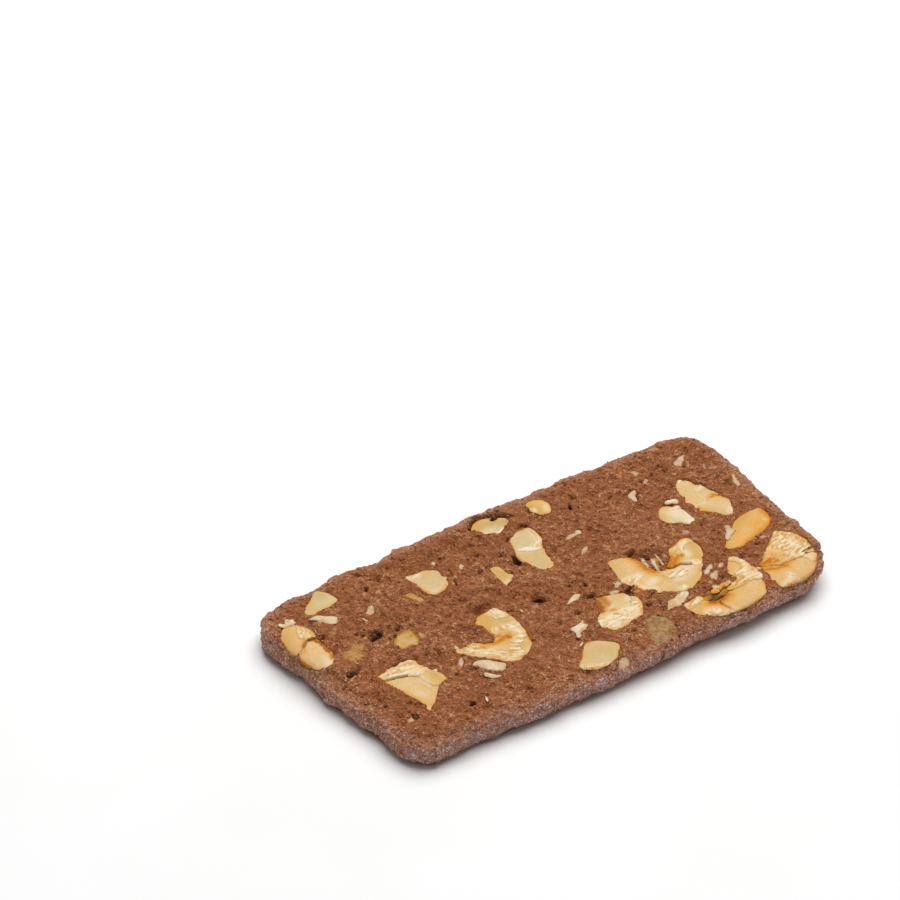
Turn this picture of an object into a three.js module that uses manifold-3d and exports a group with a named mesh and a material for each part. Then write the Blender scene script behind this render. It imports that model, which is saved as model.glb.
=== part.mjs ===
import * as THREE from 'three';
import { ImprovedNoise } from 'three/addons/math/ImprovedNoise.js';
import { mergeVertices } from 'three/addons/utils/BufferGeometryUtils.js';
import Module from 'manifold-3d';

const wasm = await Module();
wasm.setup();

// A thin slice of cocoa dough with hazelnuts, cut across the loaf and lying flat.
// Millimetres: X runs along the slice, Y across it, Z up from its underside.

const thickness = 4.2;

// Corners of the slice before rounding, with the radius of each
const corners = {
  nearLeft: { x: -36.3, y: -19.1, radius: 3.0 },
  nearRight: { x: 36.9, y: -20.3, radius: 7.5 },
  farRight: { x: 39.9, y: 19.3, radius: 4.6 },
  farLeft: { x: -40.2, y: 19.0, radius: 7.0 },
};
const halfLength = 39;
const halfWidth = 20;

// How far the middle of each edge swells past the straight line between its corners
const swell = { near: 0.8, far: 0.9, left: 0.3, right: 0.1 };

// How far the foot of the near wall leans in under the rim, at the left and the right end
const undercut = { left: 0.1, right: 1.3 };

// Bumps (positive) and notches (negative) along the edges: place, depth, half width
const farWaves = [
  { at: -28.5, depth: -0.5, reach: 2.4 },
  { at: -22.4, depth: 0.4, reach: 1.8 },
  { at: -17.6, depth: -0.6, reach: 1.6 },
  { at: -12.6, depth: 0.4, reach: 1.6 },
  { at: 0.5, depth: 0.3, reach: 2.4 },
  { at: 9.6, depth: -0.5, reach: 1.8 },
  { at: 18.0, depth: 0.3, reach: 2.4 },
  { at: 30.6, depth: -0.4, reach: 1.8 },
];
const nearWaves = [
  { at: -24.0, depth: -0.3, reach: 3.0 },
  { at: 9.6, depth: -0.5, reach: 1.1 },
  { at: 18.5, depth: 0.4, reach: 6.0 },
];
const leftWaves = [
  { at: 10.5, depth: -0.3, reach: 1.6 },
  { at: -14.0, depth: 0.2, reach: 2.4 },
];
const rightWaves = [
  { at: -4.6, depth: -0.5, reach: 0.9 },
  { at: -15.2, depth: -0.7, reach: 0.9 },
  { at: 14.6, depth: -0.5, reach: 1.0 },
];
const waveFade = 3;

// The dough block: its divisions, the rounding of its rims and its uneven top
const doughColumns = 36;
const doughRows = 19;
const rimLevels = [
  { height: 0, inset: 0.3, lean: 1 },
  { height: 0.7, inset: 0, lean: 0.6 },
  { height: thickness - 0.9, inset: 0, lean: 0 },
  { height: thickness, inset: 0.55, lean: 0 },
];
const rimFall = { depth: 0.3, reach: 1.1 };
const doughRelief = { broad: 0.16, broadSpan: 8, broadSeed: 0.5, fine: 0.1, fineSpan: 2.7, fineSeed: 4.5 };

// Hazelnut pieces with a rounded outline. turn is the direction of the length in degrees,
// egg widens the far end, waist narrows the middle, square fills the outline's corners,
// rise lifts the cut face above the dough, and step raises what lies past a break line
// that is a distance (at) from the middle, in the direction turn.
const kernels = {
  nut_twin_upper: { x: -36.2, y: 10.6, length: 6.8, width: 4.0, turn: 49, egg: 0.3, rise: 0.1 },
  nut_twin_lower: { x: -36.2, y: 5.5, length: 6.0, width: 3.3, turn: 77, egg: -0.12, rise: 0.1 },
  nut_triangle: { x: -29.1, y: 15.5, length: 5.4, width: 3.5, turn: 24, egg: 0.6, rise: 0 },
  nut_shield: { x: -28.4, y: -7.5, length: 10.3, width: 6.6, turn: 76, egg: 0.45, square: 3, rise: 0,
    step: { turn: 90, at: 2.6, height: 0.25 } },
  nut_block: { x: -14.0, y: 10.4, length: 5.7, width: 4.5, turn: 82, egg: 0.1, square: 2.5, rise: 0 },
  nut_sunken: { x: 0.9, y: 16.2, length: 5.9, width: 3.6, turn: -14, egg: -0.1, rise: -0.3 },
  nut_pear: { x: 2.5, y: 8.0, length: 10.0, width: 4.6, turn: 77, egg: 0.22, waist: 0.1, square: 2.3,
    rise: -0.1, step: { turn: 77, at: 1.0, height: 0.2 } },
  nut_half: { x: -4.7, y: -16.3, length: 7.2, width: 4.9, turn: 14, egg: 0.2, rise: 0.05 },
  nut_split: { x: 3.6, y: -10.1, length: 8.8, width: 6.4, turn: 32, square: 2.3, rise: -0.2,
    step: { turn: -90, at: -0.9, height: 0.3 } },
  nut_double: { x: 30.3, y: 3.7, length: 11.2, width: 4.8, turn: 91, waist: 0.05, square: 1.8, rise: -0.1,
    step: { turn: -90, at: 0.8, height: 0.25 } },
  nut_pale: { x: 24.0, y: 2.6, length: 5.3, width: 4.0, turn: 74, square: 2.4, rise: 0.15 },
  nut_leaf: { x: 30.1, y: -5.7, length: 10.9, width: 4.2, turn: 25, egg: 0.15, rise: 0.1 },
  nut_fan: { x: 30.9, y: -14.2, length: 11.2, width: 8.2, turn: 48, egg: 0.1, square: 2.4, rise: -0.15,
    step: { turn: 90, at: -1.0, height: 0.3 } },
};

// Hazelnut rings with a gap: radii, the two ends' directions in degrees and the band's
// width at the start, the middle and the finish
const crescents = {
  nut_crescent_left: { x: -14.6, y: -4.9, alongX: 5.6, alongY: 6.0, start: 437, finish: 181,
    startBand: 4.4, middleBand: 4.9, finishBand: 1.6, rise: 0.1, tilt: -0.25 },
  nut_crescent_middle: { x: 14.8, y: -4.7, alongX: 6.8, alongY: 7.1, start: 379, finish: 143,
    startBand: 3.2, middleBand: 5.2, finishBand: 4.0, rise: 0.1, tilt: 0 },
  nut_crescent_right: { x: 18.6, y: -14.2, alongX: 6.7, alongY: 6.0, start: 398, finish: 186,
    startBand: 2.8, middleBand: 4.0, finishBand: 2.6, rise: 0.05, tilt: 0 },
};

// Small slivers of nut that lie flush in the dough and stand a little above it
const slivers = [
  { x: -35.6, y: 15.1, length: 2.3, width: 1.1, turn: 10 },
  { x: -31.0, y: 11.6, length: 4.0, width: 1.4, turn: -40 },
  { x: -24.6, y: 9.9, length: 2.8, width: 1.0, turn: 28 },
  { x: -24.4, y: 1.4, length: 3.4, width: 2.6, turn: 25 },
  { x: -18.4, y: -9.8, length: 4.4, width: 2.1, turn: -52 },
  { x: -4.9, y: 5.7, length: 4.4, width: 1.8, turn: 84 },
  { x: 9.3, y: 15.7, length: 4.2, width: 3.1, turn: 112 },
  { x: 9.0, y: 7.1, length: 3.0, width: 0.9, turn: -4 },
  { x: 22.5, y: 10.0, length: 3.4, width: 1.0, turn: 58 },
  { x: 33.0, y: 13.1, length: 3.2, width: 1.0, turn: 22 },
  { x: 36.3, y: 4.6, length: 3.2, width: 1.0, turn: 68 },
  { x: 11.6, y: -13.5, length: 4.3, width: 1.4, turn: 14 },
  { x: -0.1, y: -4.5, length: 3.0, width: 0.9, turn: 18 },
  { x: -3.6, y: -10.7, length: 3.0, width: 1.3, turn: 20 },
];
const sliverSink = 0.7;
const sliverRise = 0.15;

// Holes that crumbs and air have left in the cut face
const pits = [
  { x: -27.2, y: 4.8, length: 2.6, width: 1.5, depth: 1.2, turn: 30 },
  { x: -0.9, y: 7.4, length: 2.4, width: 1.0, depth: 1.2, turn: 80 },
  { x: 2.9, y: 18.0, length: 3.6, width: 1.1, depth: 1.0, turn: -36 },
  { x: 13.1, y: 13.6, length: 1.9, width: 0.7, depth: 1.2, turn: 66 },
  { x: -4.0, y: -1.6, length: 1.7, width: 0.9, depth: 1.0, turn: -40 },
  { x: -24.8, y: -14.9, length: 1.5, width: 1.0, depth: 0.8, turn: 20 },
  { x: -32.7, y: -12.8, length: 1.6, width: 1.1, depth: 0.8, turn: -40 },
  { x: -16.4, y: -2.6, length: 4.2, width: 3.2, depth: 0.5, turn: 40 },
  { x: -22.3, y: 14.2, length: 1.4, width: 0.6, depth: 0.8, turn: 60 },
  { x: 17.6, y: -13.4, length: 4.0, width: 2.6, depth: 0.6, turn: 0 },
];

// The nuts' fit in the dough and the rings of points over a nut, from the top downwards
const pocketGap = 0.35;
const underRecess = 0.15;
const underTaper = 0.82;
const kernelSides = 22;
const sliverSides = 10;
const pitSides = 8;
const pitRings = 4;
const nutRings = [
  { reach: 0, drop: 0 },
  { reach: 0.55, drop: 0 },
  { reach: 0.93, drop: 0.06 },
  { reach: 1, drop: 0.35 },
  { reach: 1, under: true },
  { reach: 0, under: true },
];
const throughRings = [
  { reach: 0, drop: 0 },
  { reach: 1, drop: 0 },
  { reach: 1, under: true },
  { reach: 0, under: true },
];
const nutRelief = { height: 0.14, span: 2.1, seed: 7.5 };
const ragged = { depth: 0.05, span: 0.8 };
const arcSteps = 22;
const bandSteps = 3;
const bandShoulder = 0.12;
const stepRun = 0.5;
const throughMargin = 1;

const doughColour = 0x7d4c36;
const nutColour = 0xe0c08a;
const toastedColour = 0xd9a05a;
const doughRoughness = 0.9;
const nutRoughness = 0.6;

const noise = new ImprovedNoise();
const squared = (value) => value * value;
const mixValues = THREE.MathUtils.lerp;
const radians = THREE.MathUtils.degToRad;

function bump(list, place) {
  let total = 0;
  for (const wave of list) {
    total += wave.depth * Math.exp(-squared((place - wave.at) / wave.reach));
  }
  return total;
}

function remap(geometry, move) {
  geometry.deleteAttribute('normal');
  geometry.deleteAttribute('uv');
  const position = geometry.attributes.position;
  const point = new THREE.Vector3();
  for (let i = 0; i < position.count; i += 1) {
    point.fromBufferAttribute(position, i);
    move(point);
    position.setXYZ(i, point.x, point.y, point.z);
  }
  return mergeVertices(geometry, 1e-4);
}

function toSolid(geometry) {
  const vertProperties = new Float32Array(geometry.attributes.position.array);
  const triVerts = new Uint32Array(geometry.index.array);
  return new wasm.Manifold(new wasm.Mesh({ numProp: 3, vertProperties, triVerts }));
}

function toGeometry(solid) {
  const mesh = solid.getMesh();
  const geometry = new THREE.BufferGeometry();
  geometry.setAttribute('position', new THREE.BufferAttribute(new Float32Array(mesh.vertProperties), 3));
  geometry.setIndex(new THREE.BufferAttribute(new Uint32Array(mesh.triVerts), 1));
  geometry.computeVertexNormals();
  return geometry;
}

// Pulls the points inside a corner's square onto rings around the corner's centre
function roundCorner(point) {
  const side = `${point.y < 0 ? 'near' : 'far'}${point.x < 0 ? 'Left' : 'Right'}`;
  const radius = corners[side].radius;
  const fromEnd = (1 - Math.abs(point.x)) * halfLength;
  const fromEdge = (1 - Math.abs(point.y)) * halfWidth;
  if (fromEnd >= radius || fromEdge >= radius) {
    return;
  }
  const inX = radius - fromEnd;
  const inY = radius - fromEdge;
  const pull = Math.max(inX, inY) / Math.hypot(inX, inY);
  point.x = Math.sign(point.x) * (1 - (radius - inX * pull) / halfLength);
  point.y = Math.sign(point.y) * (1 - (radius - inY * pull) / halfWidth);
}

// Places a point of the unit square (-1 to 1) on the slice's four-sided outline
function layOut(point, lean) {
  const across = (point.x + 1) / 2;
  const away = (point.y + 1) / 2;
  const nearX = mixValues(corners.nearLeft.x, corners.nearRight.x, across);
  const farX = mixValues(corners.farLeft.x, corners.farRight.x, across);
  const leftY = mixValues(corners.nearLeft.y, corners.farLeft.y, away);
  const rightY = mixValues(corners.nearRight.y, corners.farRight.y, away);
  let x = mixValues(nearX, farX, away);
  let y = mixValues(leftY, rightY, across);
  const alongBow = 1 - squared(point.x);
  const acrossBow = 1 - squared(point.y);
  const toFar = Math.exp((point.y - 1) * halfWidth / waveFade);
  const toNear = Math.exp((-1 - point.y) * halfWidth / waveFade);
  const toRight = Math.exp((point.x - 1) * halfLength / waveFade);
  const toLeft = Math.exp((-1 - point.x) * halfLength / waveFade);
  const baseX = x;
  const baseY = y;
  y += toFar * (swell.far * alongBow + bump(farWaves, baseX));
  y -= toNear * (swell.near * alongBow + bump(nearWaves, baseX));
  y += toNear * lean * mixValues(undercut.left, undercut.right, across);
  x += toRight * (swell.right * acrossBow + bump(rightWaves, baseY));
  x -= toLeft * (swell.left * acrossBow + bump(leftWaves, baseY));
  point.x = x;
  point.y = y;
}

function topRelief(x, y) {
  const broad = noise.noise(x / doughRelief.broadSpan, y / doughRelief.broadSpan, doughRelief.broadSeed);
  const fine = noise.noise(x / doughRelief.fineSpan, y / doughRelief.fineSpan, doughRelief.fineSeed);
  return doughRelief.broad * broad + doughRelief.fine * fine;
}

function doughBlock() {
  const layers = rimLevels.length - 1;
  const block = new THREE.BoxGeometry(2, 2, 2, doughColumns, doughRows, layers);
  return remap(block, (point) => {
    const level = rimLevels[Math.round((point.z + 1) / 2 * layers)];
    roundCorner(point);
    const fromRim = Math.min((1 - Math.abs(point.x)) * halfLength, (1 - Math.abs(point.y)) * halfWidth);
    point.x *= 1 - level.inset / halfLength;
    point.y *= 1 - level.inset / halfWidth;
    layOut(point, level.lean);
    point.z = level.height;
    if (level.height === thickness) {
      point.z += topRelief(point.x, point.y) - rimFall.depth * Math.exp(-fromRim / rimFall.reach);
    }
  });
}

// A nut narrows downwards, so its share of its full outline depends on the height
function taperAt(height) {
  return 1 - (1 - underTaper) * (thickness - height) / (thickness - underRecess);
}

function brokenEdge(angle, seed) {
  return ragged.depth * noise.noise(Math.cos(angle) / ragged.span, Math.sin(angle) / ragged.span, seed);
}

// One point of a kernel's outline in its own directions, for an angle around it
function kernelOutline(kernel, angle, grow) {
  const power = 2 / (kernel.square ?? 2);
  const cosine = Math.cos(angle);
  const sine = Math.sin(angle);
  const along = Math.sign(cosine) * Math.abs(cosine) ** power;
  const across = Math.sign(sine) * Math.abs(sine) ** power;
  const egg = 1 + (kernel.egg ?? 0) * along;
  const waist = 1 - (kernel.waist ?? 0) * (1 - squared(along));
  const broken = 1 + brokenEdge(angle, kernel.x + kernel.y);
  return {
    along: along * (kernel.length / 2 * broken + grow),
    across: across * (kernel.width / 2 * egg * waist * broken + grow),
  };
}

function stepHeight(kernel, along, across) {
  if (!kernel.step) {
    return 0;
  }
  const turn = radians(kernel.step.turn - kernel.turn);
  const past = along * Math.cos(turn) + across * Math.sin(turn) - kernel.step.at;
  return kernel.step.height * THREE.MathUtils.clamp(past / stepRun + 0.5, 0, 1);
}

function flakeRelief(x, y) {
  return nutRelief.height * noise.noise(x / nutRelief.span, y / nutRelief.span, nutRelief.seed);
}

// A kernel as a ball whose rings are laid on the outline, between two heights
function kernelBody(kernel, sides, rings, grow, top, under, relief) {
  const ball = new THREE.SphereGeometry(1, sides, rings.length - 1);
  ball.rotateX(Math.PI / 2);
  const turn = radians(kernel.turn);
  return remap(ball, (point) => {
    const angle = Math.atan2(point.y, point.x);
    const polar = Math.acos(THREE.MathUtils.clamp(point.z, -1, 1));
    const ring = rings[Math.round(polar / Math.PI * (rings.length - 1))];
    const edge = kernelOutline(kernel, angle, grow);
    const height = ring.under ? under : top - ring.drop;
    const along = edge.along * ring.reach * taperAt(height);
    const across = edge.across * ring.reach * taperAt(height);
    point.x = kernel.x + along * Math.cos(turn) - across * Math.sin(turn);
    point.y = kernel.y + along * Math.sin(turn) + across * Math.cos(turn);
    point.z = height;
    if (relief && !ring.under) {
      point.z += stepHeight(kernel, along, across) + flakeRelief(point.x, point.y);
    }
  });
}

// A crescent as a bar bent round its centre, between two heights
function crescentBody(crescent, acrossSteps, grow, top, under, relief) {
  const bar = new THREE.BoxGeometry(1, 1, 1, arcSteps, acrossSteps, 1);
  const endTurn = grow / crescent.alongX;
  const start = radians(crescent.start) + endTurn;
  const finish = radians(crescent.finish) - endTurn;
  return remap(bar, (point) => {
    const run = point.x + 0.5;
    const outwards = point.y + 0.5;
    const angle = mixValues(start, finish, run);
    const ends = mixValues(crescent.startBand, crescent.finishBand, run);
    const hump = 4 * run * (1 - run);
    const middleGain = crescent.middleBand - (crescent.startBand + crescent.finishBand) / 2;
    const band = ends + hump * middleGain;
    const rim = 1 + brokenEdge(angle, crescent.x + crescent.y);
    const outer = rim + grow / crescent.alongX;
    const inner = rim - (band + grow) / crescent.alongX;
    const onTop = point.z > 0;
    const height = onTop ? top : under;
    const reach = mixValues(inner, outer, outwards) * taperAt(height);
    const shoulder = Math.abs(point.y) === 0.5 ? bandShoulder : 0;
    point.x = crescent.x + crescent.alongX * reach * Math.cos(angle);
    point.y = crescent.y + crescent.alongY * reach * Math.sin(angle);
    point.z = height;
    if (onTop && relief) {
      const sunk = crescent.tilt * squared(1 - run);
      point.z += flakeRelief(point.x, point.y) - shoulder + sunk;
    }
  });
}

function pitBody(pit) {
  const ball = new THREE.SphereGeometry(1, pitSides, pitRings);
  ball.scale(pit.length / 2, pit.width / 2, pit.depth);
  ball.rotateZ(radians(pit.turn));
  ball.translate(pit.x, pit.y, thickness);
  return remap(ball, () => {});
}

function makeDough() {
  let dough = toSolid(doughBlock());
  for (const pit of pits) {
    dough = dough.subtract(toSolid(pitBody(pit)));
  }
  for (const sliver of slivers) {
    const top = thickness + topRelief(sliver.x, sliver.y) + sliverRise;
    const body = kernelBody(sliver, sliverSides, throughRings, 0, top, thickness - sliverSink, false);
    dough = dough.add(toSolid(body));
  }
  const above = thickness + throughMargin;
  for (const kernel of Object.values(kernels)) {
    const body = kernelBody(kernel, kernelSides, throughRings, pocketGap, above, -throughMargin, false);
    dough = dough.subtract(toSolid(body));
  }
  for (const crescent of Object.values(crescents)) {
    const body = crescentBody(crescent, 1, pocketGap, above, -throughMargin, false);
    dough = dough.subtract(toSolid(body));
  }
  return toGeometry(dough);
}

function addPiece(group, name, geometry, colour, roughness) {
  const material = new THREE.MeshStandardMaterial({ color: colour, roughness, metalness: 0 });
  const mesh = new THREE.Mesh(geometry, material);
  mesh.name = name;
  group.add(mesh);
}

const biscuit = new THREE.Group();
addPiece(biscuit, 'biscuit', makeDough(), doughColour, doughRoughness);
for (const [name, kernel] of Object.entries(kernels)) {
  const top = thickness + kernel.rise;
  const body = kernelBody(kernel, kernelSides, nutRings, 0, top, underRecess, true);
  addPiece(biscuit, name, body, nutColour, nutRoughness);
}
for (const [name, crescent] of Object.entries(crescents)) {
  const top = thickness + crescent.rise;
  const body = crescentBody(crescent, bandSteps, 0, top, underRecess, true);
  addPiece(biscuit, name, body, toastedColour, nutRoughness);
}

// The origin is under the middle of the slice's box
const extent = new THREE.Box3().setFromObject(biscuit);
const middle = extent.getCenter(new THREE.Vector3());
biscuit.position.set(-middle.x, -middle.y, -extent.min.z);

export default biscuit;
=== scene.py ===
import bmesh
import bpy
import math
import numpy as np
import random
from mathutils import Matrix, Vector, kdtree, noise


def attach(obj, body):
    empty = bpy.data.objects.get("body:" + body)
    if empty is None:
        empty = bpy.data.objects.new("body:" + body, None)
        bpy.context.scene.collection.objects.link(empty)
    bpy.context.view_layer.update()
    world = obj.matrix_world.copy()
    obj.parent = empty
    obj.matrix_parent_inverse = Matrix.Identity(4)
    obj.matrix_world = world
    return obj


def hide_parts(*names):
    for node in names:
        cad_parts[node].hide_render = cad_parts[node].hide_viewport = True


noise.seed_set(11)  # otherwise noise_vector would start from the clock
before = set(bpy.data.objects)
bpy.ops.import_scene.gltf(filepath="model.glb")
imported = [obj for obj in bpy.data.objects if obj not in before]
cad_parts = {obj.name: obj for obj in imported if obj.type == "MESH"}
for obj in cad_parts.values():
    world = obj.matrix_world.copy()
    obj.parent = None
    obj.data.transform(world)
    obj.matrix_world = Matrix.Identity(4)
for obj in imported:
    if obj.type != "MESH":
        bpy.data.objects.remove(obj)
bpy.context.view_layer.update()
print("frame loaded:", len(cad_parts), "nodes")

# Modelling is done in millimetres, on the slice's own drawing.
# Each mesh is moved into the frame, which is in metres, at the end.
perMetre = 1000
drawingShift = (0.1234, 0.3353)  # the drawing's zero, in the frame
sliceTop = 4.2


# small tools for meshes

def readPoints(mesh, kind="co"):
    flat = np.empty(len(mesh.vertices) * 3)
    mesh.vertices.foreach_get(kind, flat)
    return flat.reshape(-1, 3)


def writePoints(mesh, points):
    mesh.vertices.foreach_set("co", np.ascontiguousarray(points, dtype=np.float64).ravel())
    mesh.update()


def paintMask(mesh, name, values):
    mask = mesh.attributes.new(name, "FLOAT", "POINT")
    mask.data.foreach_set("value", np.clip(values, 0, 1).astype(np.float32))


def cadCopy(node):
    bm = bmesh.new()
    bm.from_mesh(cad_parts[node].data)
    bmesh.ops.scale(bm, vec=(perMetre, perMetre, perMetre), verts=bm.verts)
    bmesh.ops.translate(bm, vec=(-drawingShift[0], -drawingShift[1], 0), verts=bm.verts)
    bmesh.ops.remove_doubles(bm, verts=bm.verts, dist=0.001)
    return bm


def evenMesh(bm, name, voxel, relaxTimes):
    rough = bpy.data.meshes.new(name)
    bm.to_mesh(rough)
    bm.free()
    holder = bpy.data.objects.new(name, rough)
    bpy.context.scene.collection.objects.link(holder)
    even = holder.modifiers.new("even", "REMESH")
    even.mode = "VOXEL"
    even.voxel_size = voxel
    graph = bpy.context.evaluated_depsgraph_get()
    mesh = bpy.data.meshes.new_from_object(holder.evaluated_get(graph))
    bpy.data.objects.remove(holder)
    bpy.data.meshes.remove(rough)
    mesh.name = name
    relaxMesh(mesh, relaxTimes)
    return mesh


def thinMesh(mesh, spare, budget):  # collapses only the spare points, down to the budget of triangles
    holder = bpy.data.objects.new(mesh.name, mesh)
    bpy.context.scene.collection.objects.link(holder)
    holder.vertex_groups.new(name="spare").add(np.flatnonzero(spare).tolist(), 1.0, "REPLACE")
    thin = holder.modifiers.new("thin", "DECIMATE")
    thin.ratio = min(1.0, budget / (2 * len(mesh.polygons)))
    thin.vertex_group = "spare"
    graph = bpy.context.evaluated_depsgraph_get()
    thinned = bpy.data.meshes.new_from_object(holder.evaluated_get(graph))
    bpy.data.objects.remove(holder)
    thinned.name = mesh.name
    bpy.data.meshes.remove(mesh)
    return thinned


def relaxMesh(mesh, times):
    bm = bmesh.new()
    bm.from_mesh(mesh)
    for _ in range(times):
        bmesh.ops.smooth_vert(bm, verts=bm.verts, factor=0.5,
                              use_axis_x=True, use_axis_y=True, use_axis_z=True)
    bm.to_mesh(mesh)
    bm.free()
    mesh.update()


def addPiece(mesh, name, finish, slot, *nodes):
    place = Matrix.Translation((drawingShift[0] / perMetre, drawingShift[1] / perMetre, 0))
    mesh.transform(place @ Matrix.Scale(1 / perMetre, 4))
    mesh.shade_smooth()
    mesh.materials.clear()
    mesh.materials.append(finish)
    piece = bpy.data.objects.new(name, mesh)
    bpy.context.scene.collection.objects.link(piece)
    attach(piece, "root")
    if nodes:
        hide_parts(*nodes)


def ease(values, low, high):  # a soft step from 0 at low to 1 at high
    share = np.clip((values - low) / (high - low), 0, 1)
    return share * share * (3 - 2 * share)


def cloud(points, size, seed, octaves=2, along=1.0, turn=0.0):  # soft noise around 0
    c, s = math.cos(math.radians(turn)), math.sin(math.radians(turn))
    shift = Vector((seed * 7.31, seed * 3.17, seed * 5.73))
    u = (points[:, 0] * c + points[:, 1] * s) / (size * along)
    v = (points[:, 1] * c - points[:, 0] * s) / size
    w = points[:, 2] / size
    spots = zip(u.tolist(), v.tolist(), w.tolist())
    return np.array([noise.fractal(Vector(spot) + shift, 1.0, 2.0, octaves) for spot in spots])


def loopDistance(spots, loop):  # negative inside the loop
    corners = np.array(loop, float)
    best = np.full(len(spots), 1e9)
    within = np.zeros(len(spots), bool)
    for a, b in zip(corners, np.roll(corners, -1, 0)):
        run = b - a
        share = np.clip((spots - a) @ run / (run @ run), 0, 1)
        best = np.minimum(best, np.hypot(*(spots - a - share[:, None] * run).T))
        crossing = (a[1] > spots[:, 1]) != (b[1] > spots[:, 1])
        level = np.where(crossing, (spots[:, 1] - a[1]) / (run[1] if run[1] else 1e-9), 0)
        within ^= crossing & (spots[:, 0] < a[0] + level * run[0])
    return np.where(within, -best, best)


def lineDistance(spots, line):
    corners = np.array(line, float)
    best = np.full(len(spots), 1e9)
    for a, b in zip(corners[:-1], corners[1:]):
        run = b - a
        share = np.clip((spots - a) @ run / (run @ run), 0, 1)
        best = np.minimum(best, np.hypot(*(spots - a - share[:, None] * run).T))
    return best


def roundLoop(points, steps=4):  # a smooth curve through the points
    corners = [Vector(p) for p in points]
    count = len(corners)
    rounded = []
    for i in range(count):
        a, b, c, d = (corners[(i + k) % count] for k in (-1, 0, 1, 2))
        for step in range(steps):
            t = step / steps
            spot = 2 * b + (c - a) * t
            spot += (2 * a - 5 * b + 4 * c - d) * t ** 2
            spot += (3 * b - a - 3 * c + d) * t ** 3
            rounded.append(spot / 2)
    return rounded


# materials: one class wraps a socket, one holds a material's nodes

class Wire:
    def __init__(self, finish, socket):
        self.finish = finish
        self.socket = socket

    def maths(self, operation, *values):
        sockets = dict(enumerate(values))
        return self.finish.node("ShaderNodeMath", {"operation": operation}, sockets)

    def __add__(self, other):
        return self.maths("ADD", self, other)

    def __radd__(self, other):
        return self.maths("ADD", other, self)

    def __sub__(self, other):
        return self.maths("SUBTRACT", self, other)

    def __rsub__(self, other):
        return self.maths("SUBTRACT", other, self)

    def __mul__(self, other):
        return self.maths("MULTIPLY", self, other)

    def __rmul__(self, other):
        return self.maths("MULTIPLY", other, self)


class Finish:
    def __init__(self, name):
        self.material = bpy.data.materials.new(name)
        self.material.use_nodes = True
        self.tree = self.material.node_tree
        self.tree.nodes.clear()
        self.place = self.node("ShaderNodeTexCoord", out="Object")

    def node(self, kind, settings=None, sockets=None, out=0):
        made = self.tree.nodes.new(kind)
        for key, value in (settings or {}).items():
            if key == "stops":
                while len(made.color_ramp.elements) < len(value):
                    made.color_ramp.elements.new(0.5)
                for stop, (spot, colour) in zip(made.color_ramp.elements, value):
                    stop.position = spot
                    stop.color = colour
            else:
                setattr(made, key, value)
        for key, value in (sockets or {}).items():
            if isinstance(value, Wire):
                self.tree.links.new(value.socket, made.inputs[key])
            else:
                made.inputs[key].default_value = value
        return Wire(self, made.outputs[out]) if made.outputs else None

    def mask(self, name):
        return self.node("ShaderNodeAttribute", {"attribute_name": name}, out="Fac")

    def grain(self, size, detail=2.0, seed=0.0, rough=0.55):
        sockets = {"Vector": self.place, "W": seed, "Scale": perMetre / size,
                   "Detail": detail, "Roughness": rough}
        return self.node("ShaderNodeTexNoise", {"noise_dimensions": "4D"}, sockets, "Fac")

    def span(self, value, low, high):
        sockets = {"Value": value, "From Min": low, "From Max": high}
        return self.node("ShaderNodeMapRange", {"interpolation_type": "SMOOTHSTEP"}, sockets)

    def blend(self, amount, first, second):
        sockets = {0: amount, 6: first, 7: second}  # the colour sockets of the node
        return self.node("ShaderNodeMix", {"data_type": "RGBA"}, sockets, 2)

    def tones(self, value, *stops):
        return self.node("ShaderNodeValToRGB", {"stops": stops}, {"Fac": value}, "Color")

    def relief(self, height):
        return self.node("ShaderNodeBump", {}, {"Strength": 1.0, "Distance": 0.001, "Height": height})

    def done(self, sockets):
        shader = self.node("ShaderNodeBsdfPrincipled", {}, sockets)
        self.node("ShaderNodeOutputMaterial", {}, {"Surface": shader})
        return self.material


lightLevel = 0.95  # surface colours are noted as they show in the studio's light


def tint(red, green, blue, level=lightLevel):
    linear = [level * ((v / 255 + 0.055) / 1.055) ** 2.4 for v in (red, green, blue)]
    return (*linear, 1.0)


# camera, light and floor

studio = {
    "cameraAt": (-236.71, -305.529, 295.299),  # on the drawing, in millimetres
    "cameraDown": 34.8,
    "cameraTurn": -35.6,
    "cameraAngle": 14.9005,
    "floorSize": 1.5,
    "floorColour": (250, 250, 250),
    "floorFleck": (248, 248, 247),
    "skyStrength": 0.22,
    "keyPower": 11.0,
    "keySize": 1.15,
    "keyAt": (0.26, 0.22, 0.86),  # in metres
}


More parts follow.
